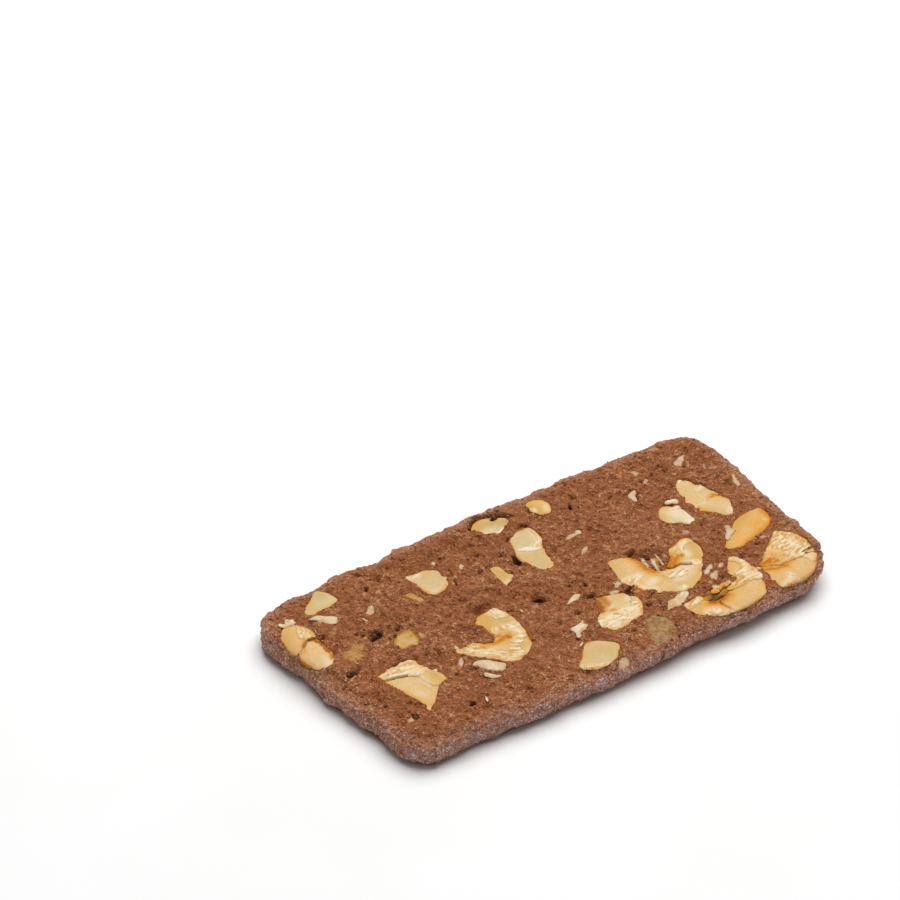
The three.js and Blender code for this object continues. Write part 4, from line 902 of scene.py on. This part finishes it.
def doughMesh():
    solid = cadCopy("biscuit")
    whole = bpy.data.meshes.new("plug")
    for node in nuts:  # a plug fills each nut's pocket, so that the slice is closed
        plug = cadCopy(node)
        plug.normal_update()
        for v in plug.verts:
            level = Vector((v.normal.x, v.normal.y))
            if level.length > 0.01:
                v.co.xy += level.normalized() * doughLook["plugGrow"]
            v.co.z = 0.03 if v.co.z < 1 else sliceTop - 0.08
        plug.to_mesh(whole)
        plug.free()
        solid.from_mesh(whole)
    bpy.data.meshes.remove(whole)
    return evenMesh(solid, "dough", doughLook["voxel"], doughLook["relaxTimes"])


def spotFinder(points):
    tree = kdtree.KDTree(len(points))
    for i, (x, y, _) in enumerate(points.tolist()):
        tree.insert((x, y, 0), i)
    tree.balance()
    return tree


def leanIn(points):  # moves the foot of the wall, and less what is higher
    for x, y, length, width, *shift in doughLook["leans"]:
        share = 1 - ease(spotShape(points[:, :2], x, y, length, width, 0), 0, 1)
        share *= 1 - points[:, 2] / sliceTop
        points[:, :2] += share[:, None] * shift


def rimDistance(spots):  # how far the nearest wall is
    return np.array([walls.find((x, y, 0))[2] for x, y in spots.tolist()])


def rimFall(spots, rim):  # the top bends down towards the walls, most on the near side
    reach, near, far = doughLook["rimRound"]
    depth = far + (near - far) * ease(-(spots[:, 0] * 0.5 + spots[:, 1]), -6, 6)
    return depth * np.clip(1 - rim / reach, 0, 1) ** 2


def topLevel(spots):  # height of the plain slice
    close = [[found[1] for found in tops.find_n((x, y, 0), 6)] for x, y in spots.tolist()]
    return topPoints[np.array(close), 2].mean(1)


dough = doughMesh()
tilt = readPoints(dough, "normal")[:, 2]
walls = spotFinder(readPoints(dough)[np.abs(tilt) < 0.4])
topPoints = readPoints(dough)[tilt > 0.3]
tops = spotFinder(topPoints)
print("slice ready:", len(dough.polygons), "faces")


# nuts, slivers and amber bits share one way of modelling

def sunkShare(heights):  # a nut narrows downwards
    return 1 - (1 - nutLook["taper"]) * (sliceTop - heights) / (sliceTop - nutLook["foot"])


def growLoop(points, amount):
    corners = [Vector(p) for p in points]
    count = len(corners)
    twist = sum(corners[i - 1].cross(corners[i]) for i in range(count))
    grown = []
    for i, spot in enumerate(corners):
        run = (corners[(i + 1) % count] - corners[i - 1]).normalized()
        grown.append(spot + Vector((run.y, -run.x)) * math.copysign(amount, twist))
    return grown


def nutBlank(loop, top, foot, middle):
    bm = bmesh.new()
    face = bm.faces.new([bm.verts.new((spot.x, spot.y, top)) for spot in loop])
    drop = bmesh.ops.extrude_face_region(bm, geom=[face])
    low = [v for v in drop["geom"] if isinstance(v, bmesh.types.BMVert)]
    share = sunkShare(foot)
    about = Matrix.Translation((-middle[0], -middle[1], 0))
    bmesh.ops.scale(bm, vec=(share, share, 1), verts=low, space=about)
    bmesh.ops.translate(bm, vec=(0, 0, foot - top), verts=low)
    bmesh.ops.recalc_face_normals(bm, faces=bm.faces)
    return bm


def washOver(spots, zones, ragged):
    wash = np.zeros(len(spots))
    for line, reach, amount in zones:
        away = (lineDistance(spots, line) + ragged) / (1.35 * reach)
        wash = np.maximum(wash, amount * np.clip(1.1 - away, 0, 1))
    return wash


def nearLine(spots, line, width, amount, ragged):
    return amount * (1 - ease(lineDistance(spots, line) + ragged, width * 0.4, width * 1.2))


def nutMesh(name, nut, seed, look):
    corners = np.array(nut["outline"], float)
    middle = (corners.min(0) + corners.max(0)) / 2
    loop = growLoop(roundLoop(nut["outline"]), look["grow"])
    loop = [spot + noise.noise_vector(Vector((*spot, seed)) / 0.6).xy * look["ragged"] for spot in loop]
    top = sliceTop + nut["rise"] * look["liftShare"] - look["sink"]
    mesh = evenMesh(nutBlank(loop, top, look["foot"], middle), name, look["voxel"], look["relaxTimes"])
    points, normals = readPoints(mesh), readPoints(mesh, "normal")
    up, down = ease(normals[:, 2], 0.25, 0.75), ease(-normals[:, 2], 0.25, 0.75)
    spots = middle + (points[:, :2] - middle) / sunkShare(points[:, 2])[:, None]
    flat = np.column_stack([spots, np.zeros(len(spots))])
    ragged = 0.14 * cloud(flat, 0.7, seed, 3)
    flake, lift, gap, skin = np.zeros((4, len(points)))
    fibre = np.full(len(points), 0.5)
    for area, height, turn in nut.get("flakes", []):
        torn = ease(-(loopDistance(spots, area) + ragged * 1.8), -0.06, 0.16)
        ridges = cloud(flat, 0.4, seed + 3, 3, 4.0, turn + 8)
        ridges += 0.45 * cloud(flat, 0.4, seed + 5, 3, 1.5, turn + 40)
        clear = 0.45 + 0.55 * ease(cloud(flat, 1.8, seed + 9), -0.2, 0.25)
        strands = 0.55 + (ease(ridges, -0.4, 0.4) - 0.55) * clear
        strands = 0.5 * strands + 0.5 * np.round(strands * 3) / 3  # torn layers end in small steps
        flake = np.maximum(flake, torn)
        fibre = fibre * (1 - torn) + strands * torn
        lift = lift * (1 - torn) + torn * (height * look["liftShare"] + look["fibre"] * (2 * strands - 1))
    for area, height in nut.get("lifts", []):
        lift += height * look["liftShare"] * ease(-(loopDistance(spots, area) + ragged * 0.6), -0.03, 0.08)
    for line, width, depth in nut.get("cracks", []):
        slit = nearLine(spots, line, width, 1.0, ragged * 0.4)
        gap = np.maximum(gap, slit * min(1, depth))
        lift -= depth * slit
    toast, ochre, pale = (washOver(spots, nut.get(key, []), ragged * 1.6)
                          for key in ("toast", "ochre", "pale"))
    for line, width, amount in nut.get("skin", []):
        skin = np.maximum(skin, nearLine(spots, line, width, amount, ragged * 1.2))
    rim = np.clip(-loopDistance(spots, loop[::2]), 0, None)
    browned = look["rimToast"] * (0.7 + 1.1 * cloud(flat, 2.2, seed + 7))
    toast = np.maximum(toast, browned * np.exp(-rim / 0.55))
    wallRim = rimDistance(spots)
    waves = 0.02 * cloud(flat, 2.4, seed + 1)
    lift += waves - look["rimDrop"] * np.exp(-rim / 0.16) - rimFall(spots, wallRim)
    level = sliceTop - 0.1 + 2 * min(0.0, nut["rise"])  # a sunk nut isn't lowered again
    lift -= np.clip(level - topLevel(spots), 0, None) + 0.35 * np.clip(1 - wallRim / 0.8, 0, 1)
    points[:, 2] += up * lift - down * np.minimum(lift * 0.5, 0)
    sideways = (1 - up - down) * 0.1 * cloud(points, 0.8, seed + 2, 3)
    points += normals * sideways[:, None]
    points[:, 2] = np.clip(points[:, 2], 0.03, None)
    leanIn(points)
    writePoints(mesh, points)
    gap = np.maximum(gap, nut.get("shade", 0.0))
    skin = np.maximum(skin, 0.75 * (1 - up - down))
    masks = {"flake": flake, "fibre": fibre, "toast": toast, "skin": skin, "gap": gap, "pale": pale,
             "ochre": ochre}
    for key in ("warm", "olive", "dull"):
        masks[key] = np.full(len(points), nut.get(key, look.get(key, 0.0)))
    if look["dull"]:
        masks["dull"] += 0.3 * np.exp(-rim / 0.16)
    for mask, values in masks.items():
        paintMask(mesh, mask, values)
    return mesh


def joinMeshes(parts, name):
    joined = bmesh.new()
    for part in parts:
        joined.from_mesh(part)
        bpy.data.meshes.remove(part)
    mesh = bpy.data.meshes.new(name)
    joined.to_mesh(mesh)
    joined.free()
    return mesh


def nutFinish():
    look = Finish("hazelnut_cut")
    warm, flake = look.mask("warm"), look.mask("flake")
    fibre, toast = look.mask("fibre"), look.mask("toast")
    skin, gap, pale, ochre = look.mask("skin"), look.mask("gap"), look.mask("pale"), look.mask("ochre")
    olive, dull = look.mask("olive"), look.mask("dull")
    patch = look.grain(2.2, 2, 3.0)
    cloudy = look.grain(3.4, 2, 5.0)
    fine = look.grain(0.34, 3, 1.0)
    soft = warm + (patch - 0.5) * 0.8
    face = look.tones(soft, (0.0, tint(236, 219, 184)), (0.3, tint(222, 196, 150)),
                      (0.6, tint(227, 187, 128)), (1.0, tint(227, 167, 80)))
    face = look.blend(look.span(cloudy, 0.4, 0.62) * 0.2, face, tint(206, 168, 106))
    face = look.blend(look.span(fine, 0.46, 0.66) * 0.22, face, tint(242, 224, 190))
    face = look.blend(ochre * 0.9, face, tint(206, 162, 80))
    green = look.tones(olive, (0.5, tint(186, 166, 104)), (1.0, tint(168, 136, 76)))
    face = look.blend(olive, face, green)
    face = look.blend(pale * 0.85, face, tint(242, 226, 196))
    torn = look.span(flake + (fine - 0.5) * 0.7, 0.3, 0.6)
    bright = fibre + (fine - 0.5) * 0.4 + pale * 0.2 - (warm - 0.45) * 0.5
    layers = look.tones(bright, (0.0, tint(208, 154, 82)), (0.3, tint(226, 190, 132)),
                        (0.6, tint(236, 213, 172)), (0.95, tint(246, 233, 208)))
    face = look.blend(torn * 0.85, face, layers)
    browned = toast * (0.75 + torn * (fibre - 0.5) * 0.9 + patch * 0.5) + (fine - 0.5) * 0.06
    toasted = look.tones(browned, (0.0, tint(230, 182, 106)), (0.45, tint(226, 164, 72)),
                         (0.75, tint(218, 146, 40)), (0.95, tint(200, 120, 14)))
    face = look.blend(browned, face, toasted)
    face = look.blend(look.span(skin + (fine - 0.5) * 0.5, 0.15, 0.85) * 0.9, face, tint(150, 84, 34))
    veil = look.span(dull + (fine - 0.5) * 1.0 + (patch - 0.5) * 0.7, 0.1, 1.0)
    smeared = look.tones(fine, (0.36, tint(142, 96, 60)), (0.5, tint(176, 136, 98)),
                         (0.64, tint(214, 190, 164)))
    face = look.blend(veil * look.span(dull, 0.0, 0.1), face, smeared)
    shadow = look.tones(gap, (0.3, tint(150, 104, 24)), (0.9, tint(52, 24, 12)))
    face = look.blend(look.span(gap, 0.0, 0.5), face, shadow)
    rough = 0.5 + torn * 0.25 + (fine - 0.5) * 0.2
    height = fine * 0.04 + torn * fine * 0.08
    return look.done({"Base Color": face, "Roughness": rough, "Specular IOR Level": 0.06,
                      "Normal": look.relief(height), "Subsurface Weight": 0.25,
                      "Subsurface Radius": (1.0, 0.55, 0.25), "Subsurface Scale": 0.0008})


def amberFinish():
    look = Finish("amber_nut")
    warm, toast = look.mask("warm"), look.mask("toast")
    cloudy = look.grain(2.0, 1, 2.0)
    shade = look.tones(warm + (cloudy - 0.5) * 0.8, (0.0, tint(204, 160, 70)), (0.4, tint(192, 142, 44)),
                       (1.0, tint(170, 106, 14)))
    shade = look.blend(toast * 0.6, shade, tint(158, 100, 26))
    return look.done({"Base Color": shade, "Roughness": 0.12 + cloudy * 0.1, "Specular IOR Level": 0.35,
                      "Normal": look.relief(cloudy * 0.12), "Subsurface Weight": 0.15,
                      "Subsurface Radius": (1.0, 0.6, 0.2), "Subsurface Scale": 0.0008})


hazelnut = nutFinish()
for count, (node, nut) in enumerate(nuts.items()):
    slot = "toasted_hazelnut" if "crescent" in node else "hazelnut"
    addPiece(nutMesh(node + "_cut", nut, 11 + count, nutLook), node + "_cut", hazelnut, slot, node)
print("nuts ready:", len(nuts))
sliverParts = [nutMesh("sliver", sliver, 40 + count, sliverLook) for count, sliver in enumerate(slivers)]
addPiece(joinMeshes(sliverParts, "nut_slivers"), "nut_slivers", hazelnut, "hazelnut")
amberParts = [nutMesh("amber", amber, 120 + count, amberLook) for count, amber in enumerate(ambers)]
addPiece(joinMeshes(amberParts, "amber_bits"), "amber_bits", amberFinish(), "toasted_hazelnut")
print("slivers and amber bits ready:", len(slivers), len(ambers))


# the dough's relief, pockets and pits

def smallPits(low, high):
    rng = random.Random(doughLook["pitSeed"])
    pits = []
    for _ in range(doughLook["smallPits"]):
        size = 0.35 + 0.9 * rng.random() ** 3
        spot = (rng.uniform(low[0], high[0]), rng.uniform(low[1], high[1]))
        width = size * rng.uniform(0.4, 0.9)
        turn = rng.uniform(0, 180)
        pits.append((*spot, size, width, turn, 0.25 + 0.5 * rng.random()))
    return pits


farOff = 9.0  # far outside a nut, or on another layer of the noise


def pocketShare(spots, under, ragged):  # where nuts lie, how near their edge is, and how deep they are sunk
    pocket, seat, sunk = np.zeros((3, len(spots)))
    for nut in list(nuts.values()) + ambers + slivers:
        corners = np.array(nut["outline"], float)
        middle = (corners.min(0) + corners.max(0)) / 2
        near = (np.abs(spots - middle) < (corners.max(0) - corners.min(0)) / 2 + 1.2).all(1)
        taper = np.where(under[near], nutLook["taper"], 1.0)[:, None]
        inside = loopDistance(middle + (spots[near] - middle) / taper, nut["outline"]) + 0.12 * ragged[near]
        if nut not in nuts.values():  # small bits don't reach the underside
            inside = np.where(under[near], farOff, inside)
        if nut in slivers:
            pocket[near] = np.maximum(pocket[near], 0.4 * (1 - ease(inside, -0.2, 0.1)))
        else:
            share = 1 - ease(inside, -0.32, 0.0)
            pocket[near] = np.maximum(pocket[near], share)
            sunk[near] = np.maximum(sunk[near], np.where(under[near], 0.0, share * max(0.0, -nut["rise"])))
            seat[near] = np.maximum(seat[near], 1 - ease(np.abs(inside), 0.0, 1.0))
    return pocket, seat, sunk


def shapeDough(mesh):
    points, normals = readPoints(mesh), readPoints(mesh, "normal")
    up, down = ease(normals[:, 2], 0.4, 0.9), ease(-normals[:, 2], 0.4, 0.9)
    wall = 1 - up - down
    spots, height = points[:, :2].copy(), points[:, 2].copy()
    under = down > 0.5
    rim = rimDistance(spots)
    flat = np.column_stack([spots, np.where(under, farOff, 0.0)])
    ragged = cloud(flat, 0.9, 1, 3)
    lumps = [depth * cloud(flat, size, 2 + i) for i, (size, depth) in enumerate(doughLook["relief"])]
    # The small lumps' height also sets the dough's colour: painted light on their crests and painted shade
    # between them, partly a lighter crust.
    crest = sum(lumps[2:]) * (1 - down)
    relief = sum(lumps[:2]) + crest
    # Creases, pits and hollows are painted darker here: painted shade where they lie deep.
    paintedShade = np.zeros(len(points))
    for i, (size, width, depth) in enumerate(doughLook["creases"]):
        crease = 1 - ease(np.abs(cloud(flat, size, 31 + i)), 0, width)
        crease *= ease(cloud(flat, size * 2.2, 35 + i), 0.08, 0.36)
        relief -= depth * crease
        paintedShade = np.maximum(paintedShade, 0.4 * crease)
    for pit in doughLook["pits"] + smallPits(spots.min(0), spots.max(0)):
        near = (np.abs(spots - pit[:2]) < pit[2]).all(1)
        hole = 1 - ease(spotShape(spots[near], *pit[:5]) + 0.35 * ragged[near], 0.45, 1.15)
        relief[near] = np.minimum(relief[near], relief[near] * (1 - hole) - pit[5] * hole)
        paintedShade[near] = np.maximum(paintedShade[near], hole * min(1, pit[5] * 1.3))
    for hollow in doughLook["hollows"]:
        share = 1 - ease(spotShape(spots, *hollow[:5]) + 0.2 * ragged, 0.2, 1.1)
        relief -= hollow[5] * share
        paintedShade = np.maximum(paintedShade, 1.25 * hollow[5] * share)
    pocket, seat, sunk = pocketShare(spots, under, ragged)
    relief = relief * (1 - pocket) * (1 - 0.5 * seat) - pocket * doughLook["pocketDepth"] - sunk
    stain, hue = np.zeros((2, len(points)))
    for area, amount, tone, soft in doughLook["stains"]:
        share = amount * ease(-(loopDistance(spots, area) + 0.6 * soft * ragged), -0.7 * soft, 0.9 * soft)
        hue = np.where(share > stain, tone, hue)
        stain = np.maximum(stain, share)
    relief *= 1 - 0.6 * stain
    paintedShade *= 1 - 0.75 * stain
    relief += 0.05 * seat * (1 - pocket)
    relief = relief * (1 - 0.4 * np.exp(-rim / 0.8)) - rimFall(spots, rim)
    relief -= 0.2 * np.clip(cloud(flat, 3.0, 12, 2), 0, None) * np.exp(-rim / 0.9)
    points[:, 2] += up * relief + down * (np.clip(-relief * 0.8, 0, None) + 0.02)
    push = sum(depth * cloud(points, size, 20 + i) for i,
               (size, depth) in enumerate(doughLook["wallRelief"]))
    low = np.clip(1 - points[:, 2] / doughLook["undercut"][0], 0, 1)
    push -= doughLook["undercut"][1] * low ** 1.5
    nearSide = ease(-(spots[:, 0] * 0.5 + spots[:, 1]), -6, 6)
    push -= doughLook["shoulder"] * nearSide * ease(height, 2.2, 4.4) ** 1.5
    points += normals * (wall * push)[:, None]
    for x, y, length, width, turn, depth in doughLook["notches"]:
        bite = depth * (1 - ease(spotShape(spots, x, y, length, width, turn) + 0.2 * ragged, 0.1, 1.0))
        inward = (math.copysign(math.cos(math.radians(turn)), x), math.sin(math.radians(turn)))
        points[:, :2] -= bite[:, None] * inward
    points[:, 2] = np.clip(points[:, 2], 0.0, None)
    leanIn(points)
    writePoints(mesh, points)
    dust = cloud(points, 2.6, 8, 3)
    flour = ease(3.6 - height + 1.2 * dust, -0.5, 1.2) * ease(wall + 0.3 * dust, 0.1, 0.7)
    paintMask(mesh, "flour", flour * (0.65 + 0.4 * np.clip(-normals[:, 1], 0, 1)))
    # painted shade in creases, pits and hollows, less on the underside
    paintMask(mesh, "pit", paintedShade * (1 - 0.3 * down))
    paintMask(mesh, "stain", stain * up)
    paintMask(mesh, "hue", hue)
    paintMask(mesh, "rim", (1 - ease(rim, 0.3, 2.2)) * (1 - down))
    # painted light on small crests and painted shade in the small valleys
    paintMask(mesh, "crest", 0.5 + crest / 0.3)
    # the low wall and the underside's edge are painted dark: painted shade at the base
    paintMask(mesh, "foot", low * np.maximum(wall, np.exp(-rim / 0.6)))
    paintMask(mesh, "oil", seat * ease(cloud(flat, 3.0, 16), -0.4, 0.25))
    level = paintedShade < 0.35
    return level & (pocket < 0.02) & (stain < 0.3), level & (seat > 0.55) & (pocket < 0.5)


def doughFinish():
    look = Finish("cocoa_dough")
    flour, pit, stain, hue, rim = (look.mask(name) for name in ("flour", "pit", "stain", "hue", "rim"))
    crest, foot, oil = look.mask("crest"), look.mask("foot"), look.mask("oil")
    crumb = look.grain(0.7, 3, 1.0, 0.65)
    fine = look.grain(0.3, 2, 2.0)
    patch = look.grain(6.0, 2, 3.0)
    # The crest term is painted light and shade from the small lumps; the other terms are the dough's own
    # grain and patches.
    tone = crumb * 0.24 + fine * 0.46 + crest * 0.12 + patch * 0.18
    base = look.tones(tone, (0.34, tint(104, 47, 18)), (0.43, tint(154, 92, 56)),
                      (0.54, tint(175, 111, 71)), (0.64, tint(224, 168, 126)))
    base = look.blend(oil * 0.75, base, tint(170, 98, 42))
    # Along the rim and down the walls the dough turns to a lighter crumb, which also stands in for a
    # painted highlight on the rounded rim.
    rimCrumbAndHighlight = look.tones(fine, (0.34, tint(162, 106, 80)), (0.66, tint(222, 174, 146)))
    base = look.blend(rim * 0.55, base, rimCrumbAndHighlight)
    sunk = look.tones(hue, (0.0, tint(146, 108, 58)), (0.35, tint(180, 128, 62)), (0.6, tint(204, 144, 40)),
                      (1.0, tint(234, 214, 188)))
    sunk = look.blend(look.span(crumb, 0.36, 0.64) * 0.5, sunk, tint(214, 184, 140))
    base = look.blend(look.span(stain, 0.03, 0.5) * 0.6, base, tint(164, 98, 46))
    soaked = look.span(stain + (fine - 0.5) * 0.5 + (crumb - 0.5) * 0.7, 0.2, 0.85)
    base = look.blend(soaked * 0.9, base, sunk)
    dusted = look.span(flour + (crumb - 0.5) * 1.6 + (fine - 0.5) * 0.8, 0.35, 1.3)
    floury = look.tones(fine * 0.6 + crumb * 0.4, (0.36, tint(148, 94, 82)), (0.5, tint(192, 144, 132)),
                        (0.62, tint(242, 228, 230)))
    base = look.blend(dusted * 0.68, base, floury)
    # painted shade: the foot of the walls is darkened
    base = look.blend(look.span(foot, 0.2, 0.9) * 0.75, base, tint(70, 38, 36))
    # painted shade: creases, pits and hollows turn dark brown
    hollow = look.tones(pit, (0.4, tint(120, 61, 28)), (1.0, tint(50, 20, 10)))
    base = look.blend(look.span(pit, 0.15, 0.8) * 0.85, base, hollow)
    height = (crumb * 0.9 + fine * 0.35) * (1 - stain * 0.6)
    rough = 0.6 + (fine - 0.5) * 0.4
    return look.done({"Base Color": base, "Roughness": rough, "Specular IOR Level": 0.07,
                      "Normal": look.relief(height)})


below = (readPoints(dough)[:, 2] < 0.4) & (tilt < -0.8)
bare, beside = shapeDough(dough)
doughPoints, doughNormals = readPoints(dough), readPoints(dough, "normal")
dough = thinMesh(dough, below, doughLook["budget"])
addPiece(dough, "biscuit_dough", doughFinish(), "dough", "biscuit")
print("dough ready")

# Crumbs and flour grains lie on the finished dough. Each is a small lump, and the first one is doubled
# until there are enough. onEdges is the share of crumbs beside nuts, onTop the share of grains on top.
crumbLook = {"doublings": 12, "size": (0.07, 0.2), "flat": 0.4, "ragged": 0.04, "seed": 21, "onEdges": 0.2}
grainLook = {"doublings": 12, "size": (0.04, 0.12), "flat": 0.6, "ragged": 0.02, "seed": 34, "onTop": 0.09}


def pickSpots(points, normals, allowed, count, rng):
    chosen = rng.sample(np.flatnonzero(allowed).tolist(), count)
    return [(Vector(points[i]), Vector(normals[i])) for i in chosen]


def scatterBits(name, picks, look, rng):
    bm = bmesh.new()
    bmesh.ops.create_icosphere(bm, subdivisions=1, radius=1)
    each = len(bm.verts)
    for _ in range(look["doublings"]):
        bmesh.ops.duplicate(bm, geom=bm.verts[:] + bm.edges[:] + bm.faces[:])
    verts = list(bm.verts)
    shades = []
    for count, (spot, normal) in enumerate(picks):
        size = rng.uniform(*look["size"])
        upright = normal.to_track_quat("Z", "Y").to_matrix().to_4x4()
        turn = upright @ Matrix.Rotation(rng.uniform(0, 6.28), 4, "Z")
        long, wide = rng.uniform(0.7, 1.3), rng.uniform(0.6, 1.0)
        shape = Matrix.Diagonal((size * long, size * wide, size * look["flat"], 1))
        shift = Vector((rng.uniform(-0.14, 0.14), rng.uniform(-0.14, 0.14), 0))
        place = Matrix.Translation(spot) @ turn @ Matrix.Translation(shift) @ shape
        for v in verts[count * each:(count + 1) * each]:
            v.co = place @ v.co
            v.co += noise.noise_vector(v.co / 0.16) * look["ragged"]
            v.co.z = max(v.co.z, 0.01)
        shades += [rng.random()] * each
    mesh = bpy.data.meshes.new(name)
    bm.to_mesh(mesh)
    bm.free()
    paintMask(mesh, "shade", shades)
    return mesh


def crumbFinish():
    look = Finish("dough_crumb")
    shade, flour = look.mask("shade"), look.mask("flour")
    fine = look.grain(0.3, 2, 2.0)
    base = look.tones(shade + (fine - 0.5) * 0.6, (0.0, tint(112, 62, 36)), (0.45, tint(152, 98, 64)),
                      (0.8, tint(176, 122, 84)), (1.0, tint(206, 158, 122)))
    base = look.blend(flour * 0.45, base, tint(176, 144, 134))
    return look.done({"Base Color": base, "Roughness": 0.6 + (fine - 0.5) * 0.4, "Specular IOR Level": 0.15,
                      "Normal": look.relief(fine * 0.1)})


def grainFinish():
    look = Finish("flour_grain")
    shade = look.mask("shade")
    base = look.tones(shade, (0.0, tint(186, 160, 150)), (0.5, tint(222, 208, 204)),
                      (1.0, tint(248, 242, 242)))
    return look.done({"Base Color": base, "Roughness": 0.55 - shade * 0.25, "Specular IOR Level": 0.3})


high = doughPoints[:, 2] > 3.3
onTop = bare & (doughNormals[:, 2] > 0.7) & high
onWall = bare & (np.abs(doughNormals[:, 2]) < 0.75) & (doughPoints[:, 2] > 0.5)
rng = random.Random(crumbLook["seed"])
crumbCount = 2 ** crumbLook["doublings"]
edgeCount = int(crumbCount * crumbLook["onEdges"])
crumbSpots = pickSpots(doughPoints, doughNormals, beside & high, edgeCount, rng)
crumbSpots += pickSpots(doughPoints, doughNormals, onTop | onWall, crumbCount - edgeCount, rng)
crumbs = scatterBits("dough_crumbs", crumbSpots, crumbLook, rng)
dusted = [1 - ease(normal.z, 0.3, 0.85) for _, normal in crumbSpots]
paintMask(crumbs, "flour", np.repeat(dusted, len(crumbs.vertices) // crumbCount))
addPiece(crumbs, "dough_crumbs", crumbFinish(), "dough")
rng = random.Random(grainLook["seed"])
grainCount = 2 ** grainLook["doublings"]
topCount = int(grainCount * grainLook["onTop"])
grainSpots = pickSpots(doughPoints, doughNormals, onTop, topCount, rng)
grainSpots += pickSpots(doughPoints, doughNormals, onWall, grainCount - topCount, rng)
addPiece(scatterBits("flour_grains", grainSpots, grainLook, rng), "flour_grains", grainFinish(), "dough")
print("crumbs and grains ready:", len(crumbSpots), len(grainSpots))
